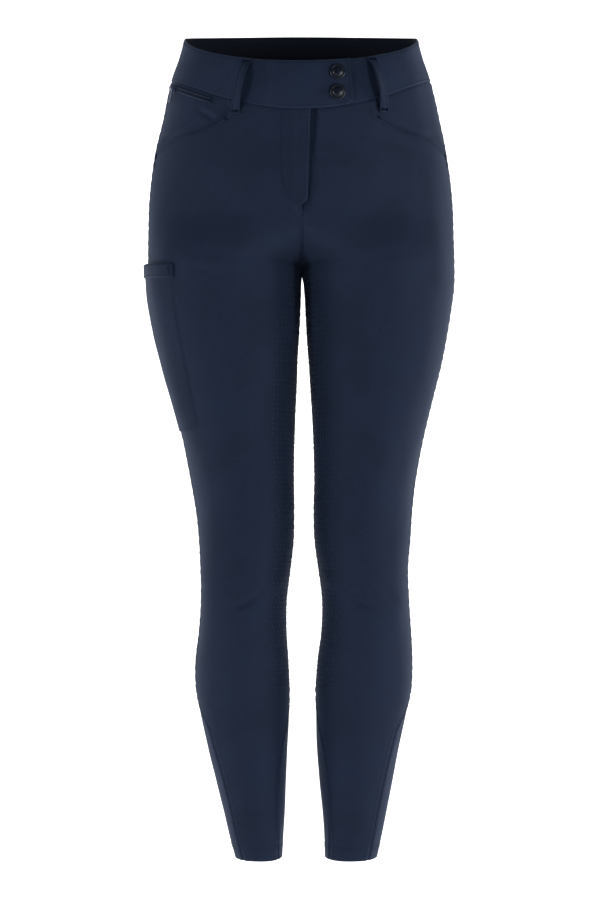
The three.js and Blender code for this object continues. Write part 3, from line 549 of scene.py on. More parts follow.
FRONT_Z = heights(BAND_SIDE, HEM, 2.9)
for side, word in ((RIGHT, "right"), (LEFT, "left")):
    z = FRONT_Z
    outer = front_outer(z)
    inner = right_fly_edge(z) if side == RIGHT else inner_edge(side, -1, z)
    inner = np.where(z < CALF_TOP, insert_inner(z), inner)
    lift = fly_lift if side == RIGHT else under_fly
    depths = (1, 0.7, 0.6, 0)
    pieces[f"front_{word}"] = panel(f"front_{word}_cloth", side, z, outer, inner, 76, lift, depths=depths, bulge=0.3)

    z = heights(BAND_SIDE, CALF_TOP, 2.9)
    first = np.full_like(z, SIDE_SEAM) + degrees_for(side, SIDE_SEAM, z, SEAM_GAP)
    pieces[f"back_{word}"] = panel(
        f"back_{word}_cloth", side, z, first, inner_edge(side, 1, z), 78, depths=(1, 1, 0.6, 0.8)
    )

    z = heights(BAND_SIDE, -118, 2.4)
    first = np.full_like(z, SIDE_SEAM + 0.0)

    def dip(angle, z, level):
        gape = 1 + 0.9 * smooth(78, 98, -z)
        return -POCKET_DIP * gape * (1 - smooth(3, 13, angle - mouth_angle(z)))

    pieces[f"hip_facing_{word}"] = panel(
        f"hip_facing_{word}_cloth", side, z, first, mouth_angle(z) - 3, 40, dip, CLOTH - 0.2, depths=(1, 0, 0.6, 0)
    )

    z = heights(CALF_TOP, HEM, 2.6)
    pieces[f"calf_insert_{word}"] = panel(
        f"calf_insert_{word}_cloth",
        side,
        z,
        insert_outer(z) + degrees_for(side, insert_outer(z), z, SEAM_GAP),
        insert_inner(z) + 360 - degrees_for(side, insert_inner(z), z, SEAM_GAP),
        92,
        lambda angle, z, level: -0.4 + 0 * angle,
        1.2,
        lambda angle, z: z + 0 * angle,
        depths=(1, 1, 0.8, 0),
        bulge=0.3,
    )


def band_turn(x):
    return math.copysign(math.degrees(math.asin(abs(x) / float(out_of[RIGHT](-45)))), x)


def band_points(turns, top_drop, foot, lift):
    """Points on the waistband at turns from the centre front, negative to the wearer's right."""
    grid = []
    for turn, raise_by, low_by in zip(turns, lift, foot):
        side = RIGHT if turn < 0 else LEFT
        angle = abs(turn) - 90.0
        top, low = float(band_top(angle)), float(band_foot(angle)) + SEAM_GAP / 2 + low_by
        z = top + (low - top) * top_drop
        grid.append(raised(side, np.full_like(z, angle), z, raise_by))
    return np.stack(grid, 1)


BAND_DROPS = np.array([0, 0.012, 0.03, 0.055, 0.09, *np.linspace(0.13, 0.87, 15), 0.91, 0.945, 0.97, 0.988, 1])


def band(name, start, end, columns, lift=lambda turn: BAND_PROUD, foot=lambda turn: 0.0):
    way = np.sign(end - start)
    turns = np.linspace(start, end, columns)
    close = way * np.array([0.1, 0.3, 0.6, 1.1])
    turns = np.concatenate([turns[:1], start + close, turns[3:-3], end - close[::-1], turns[-1:]])
    push = np.array([lift(t) for t in turns])
    feet = np.array([foot(t) for t in turns])
    ease = np.exp(-((BAND_DROPS - 1) / 0.03) ** 2)[:, None] * -0.55 + np.exp(-(BAND_DROPS / 0.025) ** 2)[:, None] * -0.4
    outer = band_points(turns, BAND_DROPS, feet, push)
    inner = band_points(turns, BAND_DROPS, feet, push - BAND_CLOTH)
    away = unit(outer - inner)
    return shell(name, outer + away * ease[..., None], inner, lengths_uv(outer), 0.7)


tab_start, tab_full, tab_end = band_turn(-UNDERLAP_REACH - 16), band_turn(-UNDERLAP_REACH - 3), band_turn(TAB_REACH)
tab_corner = band_turn(TAB_REACH - TAB_CORNER)


def tab_lift(turn):
    return BAND_PROUD + (TAB_LIFT - BAND_PROUD) * float(smooth(tab_start, tab_full, turn))


def tab_foot(turn):
    t = min(max((turn - tab_corner) / (tab_end - tab_corner), 0), 1)
    return TAB_CORNER * (1 - math.sqrt(1 - t * t))


pieces["waistband_right"] = band("waistband_right_cloth", -(90 + SIDE_SEAM), tab_end, 130, tab_lift, tab_foot)
pieces["waistband_left"] = band("waistband_left_cloth", band_turn(-UNDERLAP_REACH), 90 + SIDE_SEAM, 110)
back_seam = 90 - SIDE_SEAM


def back_band():
    near_seam = back_seam - np.array([0, 0.2, 0.7])
    turns = np.concatenate([-near_seam, np.linspace(-back_seam + 1.5, back_seam - 1.5, 190), near_seam[::-1]])
    grids = []
    for drop in (0, BAND_CLOTH):
        grid = []
        for turn in turns:
            side, angle = (RIGHT if turn < 0 else LEFT), 90.0 - abs(turn)
            top, low = float(band_top(angle)), float(band_foot(angle)) + SEAM_GAP / 2
            z = top + (low - top) * BAND_DROPS
            ease = np.exp(-((BAND_DROPS - 1) / 0.03) ** 2) * -0.55 + np.exp(-(BAND_DROPS / 0.025) ** 2) * -0.4
            grid.append(raised(side, np.full_like(z, angle), z, BAND_PROUD - drop + (ease if drop == 0 else 0)))
        grids.append(np.stack(grid, 1))
    return shell("waistband_back_cloth", grids[0], grids[1], lengths_uv(grids[0]), 0.7)


pieces["waistband_back"] = back_band()


def underlap():
    x = np.linspace(-20, 8, 16)
    z = np.linspace(-74, FLY_FOOT, 40)
    grids = []
    for drop in (0, CLOTH):
        columns = []
        for distance in x:
            side = RIGHT if distance < 0 else LEFT
            columns.append(raised(side, angle_at(side, -1, z, abs(distance)), z, -CLOTH - 0.9 - drop))
        grids.append(np.stack(columns, 1))
    return shell("fly_underlap_cloth", grids[0], grids[1], lengths_uv(grids[0]), 0.3)


pieces["fly_underlap"] = underlap()


def loop_across(side, angle, foot):
    if angle == 90:
        return np.array([1.0, 0, 0])
    return unit(body_point(side, angle + 0.5, foot) - body_point(side, angle - 0.5, foot))


def loop_bow(t):
    return np.sin(math.pi * np.clip((t - 0.06) / 0.88, 0, 1)) ** 0.75


def loop_path(loop, t, drop=0.0):
    _, side, angle, stand, below, slant, _ = loop
    top, foot = float(band_top(angle)) - 1.5, float(band_foot(angle)) - below
    z = top + (foot - top) * t
    return raised(side, angle + slant * t, z, LOOP_SEAT + LOOP_CLOTH + stand * loop_bow(t) - drop)


def belt_loop(loop):
    name, side, angle, _, below, _, tilt = loop
    t = np.concatenate([np.linspace(0, 0.06, 5)[:-1], np.linspace(0.06, 0.94, 46), np.linspace(0.94, 1, 5)[1:]])
    across = loop_across(side, angle, float(band_foot(angle)) - below)
    outer, inner = loop_path(loop, t), loop_path(loop, t, LOOP_CLOTH)
    away = unit(outer - inner)
    c = np.linspace(-0.5, 0.5, 13)
    welt = 0.25 * np.cos(c * math.pi * 2) ** 2 - 0.1
    turned = -2 * tilt * c * loop_bow(t)[:, None]

    def spread(grid, push):
        return grid[:, None] + across * c[:, None] * LOOP_WIDTH + away[:, None] * (push + turned)[..., None]

    top = spread(outer, welt - 0.35 * (np.abs(c) > 0.45))
    return shell(name + "_cloth", top, spread(inner, 0 * c), lengths_uv(top), 0.5)


for loop in LOOPS:
    pieces[loop[0]] = belt_loop(loop)


def pocket_point(t, s, lift):
    top = POCKET_TOP - POCKET_HEM - POCKET_TILT * (1 - t)
    z = top + (POCKET_FOOT - top) * s
    angle = POCKET_FRONT + (POCKET_BACK - POCKET_FRONT) * t
    half = (POCKET_BACK - POCKET_FRONT) / 2
    corner = np.clip(1 - (z - POCKET_FOOT) / POCKET_CORNER, 0, 1)
    narrowing = POCKET_CORNER * (1 - np.sqrt(1 - corner * corner))
    centre = (POCKET_FRONT + POCKET_BACK) / 2
    pull = 1 - degrees_for(RIGHT, np.full_like(z, centre), z, narrowing) / half
    belly = POCKET_BELLY * np.sin(math.pi * np.clip(t, 0, 1)) ** 0.6 * smooth(0, 0.5, 1.04 - s)
    return raised(RIGHT, centre + (angle - centre) * pull, z, 0.3 + belly + lift)


def patch_lift(t, s):
    """The patch is flush along its front edge and comes up to its full thickness a third of the way round."""
    flush = smooth(0, 0.34, t)
    full = POCKET_BELLY * np.sin(math.pi * np.clip(t, 0, 1)) ** 0.6 * smooth(0, 0.5, 1.04 - s)
    return CLOTH - (1 - flush) * (full + CLOTH) - 0.9 * np.exp(-(((1 - t) * 120 / 2.5) ** 2)), (1 - flush) * full


def thigh_pocket():
    t = np.concatenate([[0, 0.004, 0.012, 0.024], np.linspace(0.04, 0.96, 44), [0.976, 0.988, 0.996, 1]])
    s = np.concatenate([np.linspace(0.0018, 0.9, 66), 1 - 0.1 * (1 - np.linspace(0, 1, 26)[1:]) ** 1.6])
    tt, ss = np.meshgrid(t, s)
    lift, sink = patch_lift(tt, ss)
    outer, inner = pocket_point(tt, ss, lift), pocket_point(tt, ss, -0.25 - sink)
    return shell("thigh_pocket_cloth", outer, inner, lengths_uv(outer), 0.3)


def hem_point(t, drop, lift):
    angle = POCKET_FRONT - 1 + (POCKET_BACK - POCKET_FRONT + 1.5) * t
    belly = (POCKET_BELLY + 0.3) * np.sin(math.pi * np.clip(t, 0, 1)) ** 0.5
    z = POCKET_TOP - POCKET_TILT * (1 - t) - POCKET_HEM * drop
    return raised(RIGHT, angle, z, 0.3 + belly + lift)


def pocket_hem():
    t = np.concatenate([[0, 0.005, 0.015], np.linspace(0.03, 0.97, 50), [0.985, 0.995, 1]])
    drop = np.array([0, 0.03, 0.08, 0.15, *np.linspace(0.22, 0.78, 9), 0.85, 0.92, 0.97, 1])
    tt, dd = np.meshgrid(t, drop)
    edge = -0.8 * np.exp(-(np.minimum(dd, 1 - dd) / 0.035) ** 2) - 0.6 * np.exp(-(np.minimum(tt, 1 - tt) / 0.008) ** 2)
    outer, inner = hem_point(tt, dd, HEM_CLOTH + edge), hem_point(tt, dd, 0.0)
    return shell("thigh_pocket_hem_cloth", outer, inner, lengths_uv(outer), 0.7)


pieces["thigh_pocket"] = thigh_pocket()
pieces["thigh_pocket_hem"] = pocket_hem()


def zip_point(t, s, lift):
    angle = ZIP_INNER + (ZIP_OUTER - ZIP_INNER) * t
    return raised(RIGHT, angle, row_height(angle, ZIP_Z + ZIP_HALF * s), lift)


def zip_tape():
    tt, ss = np.meshgrid(np.linspace(0, 1, 60), np.linspace(1, -1, 15))
    outer = zip_point(tt, ss, 0.3 + ZIP_CLOTH * 0.7)
    return shell("zip_tape_cloth", outer, zip_point(tt, ss, 0.25), lengths_uv(outer), 0.2)


pieces["zip_tape"] = zip_tape()


def frame_on(side, angle, z, lift):
    """A place on the garment: x runs level round it, y down it and z out of it."""
    out = body_normal(side, angle, z)
    down = body_point(side, angle, z - 1) - body_point(side, angle, z)
    down = unit(down - out * (down @ out))
    round_ = np.cross(down, out)
    place = raised(side, np.float64(angle), np.float64(z), lift)
    return np.stack([round_, down, out], 1), place


def lathe(profile, segments=48):
    """Points and faces of a closed turned shape about z, from (radius, height) rows that start and end on the axis."""
    turns = np.linspace(0, 2 * math.pi, segments, endpoint=False)
    points, rings = [], []
    for radius, height in profile:
        if radius == 0:
            rings.append([len(points)] * segments)
            points.append((0, 0, height))
        else:
            rings.append(list(range(len(points), len(points) + segments)))
            points += [(radius * math.cos(a), radius * math.sin(a), height) for a in turns]
    faces = []
    for low, high in zip(rings, rings[1:]):
        for k in range(segments):
            n = (k + 1) % segments
            quad = [low[k], low[n], high[n], high[k]]
            faces.append([v for i, v in enumerate(quad) if v not in quad[:i]])
    return np.array(points, float), faces


SNAP_PROFILE = [
    (0, 0), (8.5, 0), (8.8, 0.3), (8.8, 1.5), (8.65, 1.95), (8.3, 2.35), (7.7, 2.6), (7.1, 2.6), (6.75, 2.4),
    (6.5, 2.05), (6.35, 2.0), (6.1, 2.35), (5.6, 2.85), (4.9, 3.3), (4.0, 3.68), (3.0, 3.94), (2.0, 4.1), (1.0, 4.18),
    (0, 4.2),
]
for name, z in SNAPS:
    points, faces = lathe(SNAP_PROFILE)
    turn, place = frame_on(LEFT, float(angle_at(LEFT, -1, np.float64(z), SNAP_X)), z, TAB_LIFT + 0.4)
    pieces[name] = mesh_object(name + "_metal", points @ turn.T + place, faces, sharp=60)

slider_turn, slider_place = frame_on(RIGHT, SLIDER_ANGLE, float(row_height(SLIDER_ANGLE, ZIP_Z)), 1.9)


def outline_object(name, loops, thickness, bevel, transform):
    """A flat plate with rounded edges from closed outlines in its plane, the first one outside, the others holes."""
    curve = bpy.data.curves.new(name, "CURVE")
    curve.dimensions, curve.fill_mode = "2D", "BOTH"
    curve.extrude = (thickness / 2 - bevel) * MM
    curve.bevel_depth, curve.bevel_resolution = bevel * MM, 2
    for loop in loops:
        spline = curve.splines.new("POLY")
        spline.points.add(len(loop) - 1)
        for point, (x, y) in zip(spline.points, loop):
            point.co = (x * MM, y * MM, 0, 1)
        spline.use_cyclic_u = True
    holder = in_scene(name, curve)
    bpy.context.view_layer.update()
    mesh = bpy.data.meshes.new_from_object(holder.evaluated_get(bpy.context.evaluated_depsgraph_get()))
    bpy.data.objects.remove(holder)
    bpy.data.curves.remove(curve)
    mesh.transform(transform)
    mesh.shade_smooth()
    mesh.set_sharp_from_angle(angle=math.radians(40))
    return in_scene(name, mesh)


def stadium(width, start, end, steps=12):
    """A long outline with round ends, from start to end along y."""
    r = width / 2
    a = np.linspace(0, math.pi, steps)
    lower = [(r * math.cos(t), start + r - r * math.sin(t)) for t in a[::-1]]
    upper = [(r * math.cos(t), end - r + r * math.sin(t)) for t in a]
    return lower + upper


def rounded_box(size, centre, bevel, steps=3):
    """A box with rounded edges, from its three sizes."""
    bm = bmesh.new()
    bmesh.ops.create_cube(bm, size=1)
    for vertex in bm.verts:
        vertex.co = Vector([c * s for c, s in zip(vertex.co, size)])
    bmesh.ops.bevel(bm, geom=bm.edges[:], offset=bevel, segments=steps, profile=0.5, affect="EDGES")
    points = np.array([list(v.co) for v in bm.verts]) + np.array(centre)
    faces = [[v.index for v in f.verts] for f in bm.faces]
    bm.free()
    return points, faces


def joined(name, parts, sharp=40):
    points, faces = [], []
    for part_points, part_faces in parts:
        base = sum(len(p) for p in points)
        points.append(part_points)
        faces += [[v + base for v in face] for face in part_faces]
    return mesh_object(name, np.concatenate(points), faces, sharp=sharp)


def rod(radius, length, axis_points=20, chamfer=0.15):
    """A rod along x, with chamfered ends."""
    profile = [(0, -length / 2), (radius - chamfer, -length / 2), (radius, -length / 2 + chamfer),
               (radius, length / 2 - chamfer), (radius - chamfer, length / 2), (0, length / 2)]
    points, faces = lathe(profile, axis_points)
    return points[:, [2, 0, 1]], faces


def zip_slider():
    lug_at = PULL_WIDTH / 2 + 0.3 + 0.55
    parts = [rounded_box((SLIDER_LENGTH, SLIDER_WIDTH, SLIDER_BASE), (0, 1.6, SLIDER_BASE / 2), 0.55)]
    lug_height = PIN_HEIGHT + 1.2 - (SLIDER_BASE - 0.3)
    for way in (-1, 1):
        centre = (way * lug_at, 0, SLIDER_BASE - 0.3 + lug_height / 2)
        parts.append(rounded_box((1.1, 3.8, lug_height), centre, 0.35))
    points, faces = rod(PIN_RADIUS, PULL_WIDTH + 1.7)
    parts.append((points + np.array([0, 0, PIN_HEIGHT]), faces))
    return joined("zip_slider_metal", parts)


def placed(obj, turn, place):
    """Moves an object's own points from the frame's millimetres to the garment, and leaves the object unturned."""
    matrix = Matrix([[*map(float, turn[i]), float(place[i]) * MM] for i in range(3)] + [[0, 0, 0, 1]])
    obj.data.transform(matrix)
    return obj


pieces["zip_slider"] = placed(zip_slider(), slider_turn, slider_place)


def zip_pull():
    low = PIN_HEIGHT - EYE_OUTER
    plate_at = low + PULL_CLOTH / 2
    outer = stadium(PULL_WIDTH, 1.2, PULL_LENGTH)
    slots = [stadium(1.7, 4.2, 8.6, 8), stadium(1.7, 9.8, 14.4, 8)]
    lift = Matrix.Translation((0, 0, plate_at * MM))
    plate = outline_object("zip_pull_metal", [outer, *slots], PULL_CLOTH, 0.35, lift)
    segments = 28
    profile = [(EYE_INNER, -1), (EYE_OUTER, -1), (EYE_OUTER, 1), (EYE_INNER, 1)]
    points, faces = [], []
    for k in range(segments):
        a = 2 * math.pi * k / segments
        for radius, way in profile:
            points.append((way * (PULL_WIDTH / 2 - 0.1), radius * math.cos(a), PIN_HEIGHT + radius * math.sin(a)))
        for m in range(4):
            n = (m + 1) % 4
            j = (k + 1) % segments
            faces.append([4 * k + m, 4 * k + n, 4 * j + n, 4 * j + m])
    eye = mesh_object("eye", points, faces, sharp=40)
    bpy.context.view_layer.update()
    bm = bmesh.new()
    bm.from_mesh(plate.data)
    bm.from_mesh(eye.data)
    bmesh.ops.recalc_face_normals(bm, faces=bm.faces[:])
    bm.to_mesh(plate.data)
    bm.free()
    plate.data.shade_smooth()
    plate.data.set_sharp_from_angle(angle=math.radians(40))
    bpy.data.objects.remove(eye)
    return plate


pieces["zip_pull"] = placed(zip_pull(), slider_turn, slider_place)


# ---------------------------------------------------------------- materials
def linear(colour):
    """sRGB hex to a linear colour."""
    channels = [int(colour[i:i + 2], 16) / 255 for i in (1, 3, 5)]
    return (*[c / 12.92 if c <= 0.04045 else ((c + 0.055) / 1.055) ** 2.4 for c in channels], 1)


def node(tree, kind, inputs=None, **settings):
    """Adds a node, sets its own settings, then links or sets its inputs by name or number."""
    made = tree.nodes.new(kind)
    for key, value in settings.items():
        setattr(made, key, value)
    for key, value in (inputs or {}).items():
        if isinstance(value, bpy.types.NodeSocket):
            tree.links.new(value, made.inputs[key])
        else:
            made.inputs[key].default_value = value
    return made


def material(name):
    made = bpy.data.materials.new(name)
    made.use_nodes = True
    made.node_tree.nodes.clear()
    return made, made.node_tree


# Painted shade: the inner faces of the cloth take this darker flat tone and lose their sheen, standing in for the shade
# inside the garment
INSIDE_PAINTED_SHADE = "#0F1626"


def woven(name, base, light, roughness, sheen, thread_pitch, rib=0.0):
    """Stretch twill: matt, with a soft bloom at grazing angles and a weave too fine to count from afar; its inner faces
    are painted darker and without sheen, as painted shade.
    """
    made, tree = material(name)
    uv = node(tree, "ShaderNodeUVMap", uv_map="cloth").outputs["UV"]
    broad = node(tree, "ShaderNodeTexNoise", {"Vector": uv, "Scale": 16.0, "Detail": 4.0, "Roughness": 0.6})
    slub = node(tree, "ShaderNodeMapping", {"Vector": uv, "Scale": (180.0, 900.0, 1.0)})
    slubs = node(tree, "ShaderNodeTexNoise", {"Vector": slub.outputs[0], "Scale": 1.0, "Detail": 2.0})
    mottle = node(tree, "ShaderNodeMath", {0: broad.outputs["Fac"], 1: slubs.outputs["Fac"]}, operation="MULTIPLY")
    spread = node(tree, "ShaderNodeMapRange", {"Value": mottle.outputs[0], "From Min": 0.12, "From Max": 0.42})
    colour = node(
        tree, "ShaderNodeMix", {"Factor": spread.outputs[0], 6: linear(base), 7: linear(light)}, data_type="RGBA"
    )
    # Painted shade: faces marked inside get the darker tone and no sheen
    inside = node(tree, "ShaderNodeAttribute", attribute_name="inside").outputs["Fac"]
    inside_painted_shade = node(
        tree, "ShaderNodeMix", {"Factor": inside, 6: colour.outputs[2], 7: linear(INSIDE_PAINTED_SHADE)}, data_type="RGBA"
    )
    bloom = node(tree, "ShaderNodeMapRange", {"Value": inside, "To Min": sheen, "To Max": 0.0})
    pitch = thread_pitch * MM
    slant = (0, 0, math.radians(58))
    diagonal = node(tree, "ShaderNodeMapping", {"Vector": uv, "Rotation": slant, "Scale": (1 / pitch,) * 3})
    lines = {"Vector": diagonal.outputs[0], "Scale": 0.16, "Distortion": 0.6}
    twill = node(tree, "ShaderNodeTexWave", lines, wave_type="BANDS")
    height = twill.outputs["Fac"]
    if rib:
        ribs = node(tree, "ShaderNodeTexWave", {"Vector": uv, "Scale": 0.314 / (rib * MM) / 20}, wave_type="BANDS")
        height = node(tree, "ShaderNodeMath", {0: height, 1: ribs.outputs["Fac"]}, operation="ADD").outputs[0]
    fuzz = node(tree, "ShaderNodeTexNoise", {"Vector": uv, "Scale": 1400.0, "Detail": 2.0})
    both = node(tree, "ShaderNodeMath", {0: height, 1: fuzz.outputs["Fac"]}, operation="ADD")
    bump = node(tree, "ShaderNodeBump", {"Height": both.outputs[0], "Strength": 0.35, "Distance": 0.00018})
    shader = node(
        tree,
        "ShaderNodeBsdfPrincipled",
        {
            "Base Color": inside_painted_shade.outputs[2],
            "Roughness": roughness,
            "Sheen Weight": bloom.outputs[0],
            "Sheen Roughness": 0.42,
            "Sheen Tint": linear("#7F95C4"),
            "Specular IOR Level": 0.2,
            "Normal": bump.outputs[0],
        },
    )
    node(tree, "ShaderNodeOutputMaterial", {"Surface": shader.outputs[0]})
    return made


# Navy stretch twill, brushed: the eye sees a matt dark blue that lifts to slate at the silhouettes
navy_twill = woven("navy_stretch_twill", "#121D30", "#17243B", 0.86, 0.15, 0.62)
# The same twill doubled and pressed, so a touch smoother and lighter on the waistband
band_twill = woven("navy_pressed_twill", "#141F33", "#19273F", 0.82, 0.15, 0.62)
# Knitted stretch jersey of the calf insert: close to the twill, with fine upright ribs
calf_jersey = woven("navy_ribbed_jersey", "#131E32", "#18253D", 0.84, 0.15, 0.5, rib=1.2)


def plain(name, colour, roughness, metallic=0.0, coat=0.0, gloss=0.5):
    """A smooth material with a fine speckle in its roughness and bump."""
    made, tree = material(name)
    where = node(tree, "ShaderNodeTexCoord").outputs["Object"]
    speckle = node(tree, "ShaderNodeTexNoise", {"Vector": where, "Scale": 900.0, "Detail": 2.0})
    limits = {"To Min": roughness - 0.05, "To Max": roughness + 0.06}
    rough = node(tree, "ShaderNodeMapRange", {"Value": speckle.outputs["Fac"], **limits})
    bump = node(tree, "ShaderNodeBump", {"Height": speckle.outputs["Fac"], "Strength": 0.12, "Distance": 0.00005})
    inputs = {
        "Base Color": linear(colour),
        "Roughness": rough.outputs[0],
        "Metallic": metallic,
        "Coat Weight": coat,
        "Specular IOR Level": gloss,
        "Normal": bump.outputs[0],
    }
    shader = node(tree, "ShaderNodeBsdfPrincipled", inputs)
    node(tree, "ShaderNodeOutputMaterial", {"Surface": shader.outputs[0]})
    return made


# Spun polyester thread: matt and close to the cloth, so rows of stitches show by their shape
thread = plain("spun_polyester_thread", "#141F34", 0.85, gloss=0.1)
# Woven zip tape, flat and dark
tape = plain("polyester_zip_tape", "#0A0F1A", 0.9, gloss=0.08)
# Nylon coil, with the slight gloss of bare plastic
coil_nylon = plain("nylon_coil", "#131B2C", 0.5, gloss=0.3)
# Enamelled zinc slider: dark paint with soft highlights
enamel = plain("enamelled_zinc", "#38445E", 0.4, metallic=0.25, coat=0.2)
# Painted pressed snap: dark lacquer with a soft ring of light
lacquer = plain("lacquered_snap_metal", "#0B1220", 0.3, coat=0.0, gloss=0.3)
# Silicone grip print: smooth rubber, a little glossier than the cloth
silicone = plain("silicone_print", "#1A2439", 0.45, gloss=0.3)

# ---------------------------------------------------------------- sewing and small repeats
def repeat_tree(name, sizes):
    """A tree from geometry and named sizes, and its input sockets."""
    tree = bpy.data.node_groups.new(name, "GeometryNodeTree")
    tree.interface.new_socket(name="Geometry", in_out="OUTPUT", socket_type="NodeSocketGeometry")
    tree.interface.new_socket(name="Geometry", in_out="INPUT", socket_type="NodeSocketGeometry")
    for size_name, size in sizes.items():
        socket = tree.interface.new_socket(name=size_name, in_out="INPUT", socket_type="NodeSocketFloat")
        socket.default_value = size * MM
    tree.interface.new_socket(name="Material", in_out="INPUT", socket_type="NodeSocketMaterial")
    return tree, node(tree, "NodeGroupInput").outputs


def repeated(tree, given, points, shape, way, across, along):
    """Sets a shape on every point, turned along way, and ends the tree."""
    turn = node(tree, "FunctionNodeAlignRotationToVector", {"Vector": way}, axis="Z")
    size = node(tree, "ShaderNodeCombineXYZ", {0: given[across], 1: given[across], 2: given[along]})
    laid = {"Points": points, "Instance": shape, "Rotation": turn.outputs[0], "Scale": size.outputs[0]}
    instances = node(tree, "GeometryNodeInstanceOnPoints", laid)
    real = node(tree, "GeometryNodeRealizeInstances", {0: instances.outputs[0]})
    soft = node(tree, "GeometryNodeSetShadeSmooth", {0: real.outputs[0]})
    painted = node(tree, "GeometryNodeSetMaterial", {"Geometry": soft.outputs[0], "Material": given["Material"]})
    node(tree, "NodeGroupOutput", {0: painted.outputs[0]})
    return tree


def stitch_tree():
    """Stitches along curves: real pitch, stitch length and thread thickness as named inputs."""
    tree, given = repeat_tree("stitches", {"Pitch": STITCH_PITCH, "Stitch Length": STITCH_LENGTH, "Thread": THREAD})
    along = {"Curve": given["Geometry"], "Length": given["Pitch"]}
    spaced = node(tree, "GeometryNodeResampleCurve", along, mode="LENGTH")
    ball = node(tree, "GeometryNodeMeshUVSphere", {"Segments": 6, "Rings": 5, "Radius": 0.5})
    tangent = node(tree, "GeometryNodeInputTangent")
    return repeated(tree, given, spaced.outputs[0], ball.outputs[0], tangent.outputs[0], "Thread", "Stitch Length")


def dot_tree():
    """Printed dots on points that carry the way out of the cloth in the attribute out."""
    tree, given = repeat_tree("grip_dots", {"Diameter": DOT_DIAMETER, "Height": DOT_HEIGHT})
    cone = {"Vertices": 8, "Radius Top": 0.3, "Radius Bottom": 0.5, "Depth": 1.0}
    dome = node(tree, "GeometryNodeMeshCone", cone)
    out = node(tree, "GeometryNodeInputNamedAttribute", {"Name": "out"}, data_type="FLOAT_VECTOR")
    cloud = node(tree, "GeometryNodeMeshToPoints", {"Mesh": given["Geometry"]})
    return repeated(tree, given, cloud.outputs[0], dome.outputs[0], out.outputs[0], "Diameter", "Height")


STITCHES, DOTS = stitch_tree(), dot_tree()


def grown(name, holder, tree, values):
    """Runs a node tree on a holder object and keeps the result as a plain mesh."""
    modifier = holder.modifiers.new("grow", "NODES")
    modifier.node_group = tree
    for item in tree.interface.items_tree:
        if item.item_type == "SOCKET" and item.in_out == "INPUT" and item.name in values:
            modifier[item.identifier] = values[item.name]
    bpy.context.view_layer.update()
    mesh = bpy.data.meshes.new_from_object(holder.evaluated_get(bpy.context.evaluated_depsgraph_get()))
    bpy.data.objects.remove(holder)
    mesh.name = name
    return in_scene(name, mesh)


def sewn(name, paths, pitch=STITCH_PITCH, length=STITCH_LENGTH):
    curve = bpy.data.curves.new(name, "CURVE")
    curve.dimensions = "3D"
    for path in paths:
        spline = curve.splines.new("POLY")
        spline.points.add(len(path) - 1)
        co = np.concatenate([path * MM, np.ones((len(path), 1))], 1)
        spline.points.foreach_set("co", co.ravel())
    holder = in_scene(name, curve)
    values = {"Pitch": pitch * MM, "Stitch Length": length * MM, "Thread": THREAD * MM, "Material": thread}
    return grown(name, holder, STITCHES, values)


ON_CLOTH = 0.12


def bartack(centre, along, out, length=9.0, width=2.2, pitch=0.62):
    """A dense zigzag of thread, centred on a place on the cloth."""
    along = unit(along - out * (along @ out))
    across = np.cross(out, along)
    count = int(length / pitch)
    points = []
    for k in range(count + 1):
        way = 0.5 if k % 2 else -0.5
        points.append(centre + along * (k / count - 0.5) * length + across * way * width + out * 0.25)
    return np.array(points)


def tube(paths, radius, sides=6):
    """Thread laid along paths, as one mesh of thin tubes."""
    points, faces = [], []
    for path in paths:
        tangent = unit(np.gradient(path, axis=0))
        side_way = unit(np.cross(tangent, [0.31, 0.2, 0.93]))
        other = np.cross(tangent, side_way)
        base = sum(len(p) for p in points)
        a = np.linspace(0, 2 * math.pi, sides, endpoint=False)
        ring = path[:, None] + radius * (np.cos(a)[:, None] * side_way[:, None] + np.sin(a)[:, None] * other[:, None])
        points.append(ring.reshape(-1, 3))
        for k in range(len(path) - 1):
            for m in range(sides):
                n = (m + 1) % sides
                here, ahead = base + k * sides, base + (k + 1) * sides
                faces.append([here + m, here + n, ahead + n, ahead + m])
        faces.append([base + m for m in range(sides)][::-1])
        faces.append([base + (len(path) - 1) * sides + m for m in range(sides)])
    return np.concatenate(points), faces


def band_line(start, end, drop, lift=lambda turn: BAND_PROUD, foot=lambda turn: 0.0, sign=1):
    """A row along the waistband, drop millimetres below its top, or above its foot where drop is negative."""
    path = []
    for turn in np.linspace(start, end, max(8, int(abs(end - start) * 1.6))):
        side, angle = (RIGHT if turn < 0 else LEFT), abs(turn) - 90.0
        if sign < 0:
            angle = 90.0 - abs(turn)
        top, low = float(band_top(angle)), float(band_foot(angle)) + foot(turn)
        z = top - drop if drop > 0 else low - drop
        path.append(raised(side, np.float64(angle), np.float64(z), lift(turn) + ON_CLOTH))
    return np.array(path)


TOP_ROW, FOOT_ROW = 2.6, -2.2
inside_tab = lambda x: band_turn(TAB_REACH - x)
band_rows = [
    band_line(-(90 + SIDE_SEAM) + 0.8, inside_tab(2.4), TOP_ROW, tab_lift),
    band_line(-(90 + SIDE_SEAM) + 0.8, inside_tab(5.5), FOOT_ROW, tab_lift, tab_foot),
    band_line(tab_end + 1.5, 90 + SIDE_SEAM - 0.8, TOP_ROW),
    band_line(tab_end + 1.5, 90 + SIDE_SEAM - 0.8, FOOT_ROW),
    band_line(-back_seam + 0.8, back_seam - 0.8, TOP_ROW, sign=-1),
    band_line(-back_seam + 0.8, back_seam - 0.8, FOOT_ROW, sign=-1),
]
tab_turn = inside_tab(2.4)
tab_angle = abs(tab_turn) - 90.0
tab_z = np.linspace(float(band_top(tab_angle)) - 3, float(band_foot(tab_angle)) + 5.5, 24)
band_rows.append(raised(LEFT, np.full_like(tab_z, tab_angle), tab_z, TAB_LIFT + ON_CLOTH))
waist_stitches = sewn("waistband_stitches", band_rows)


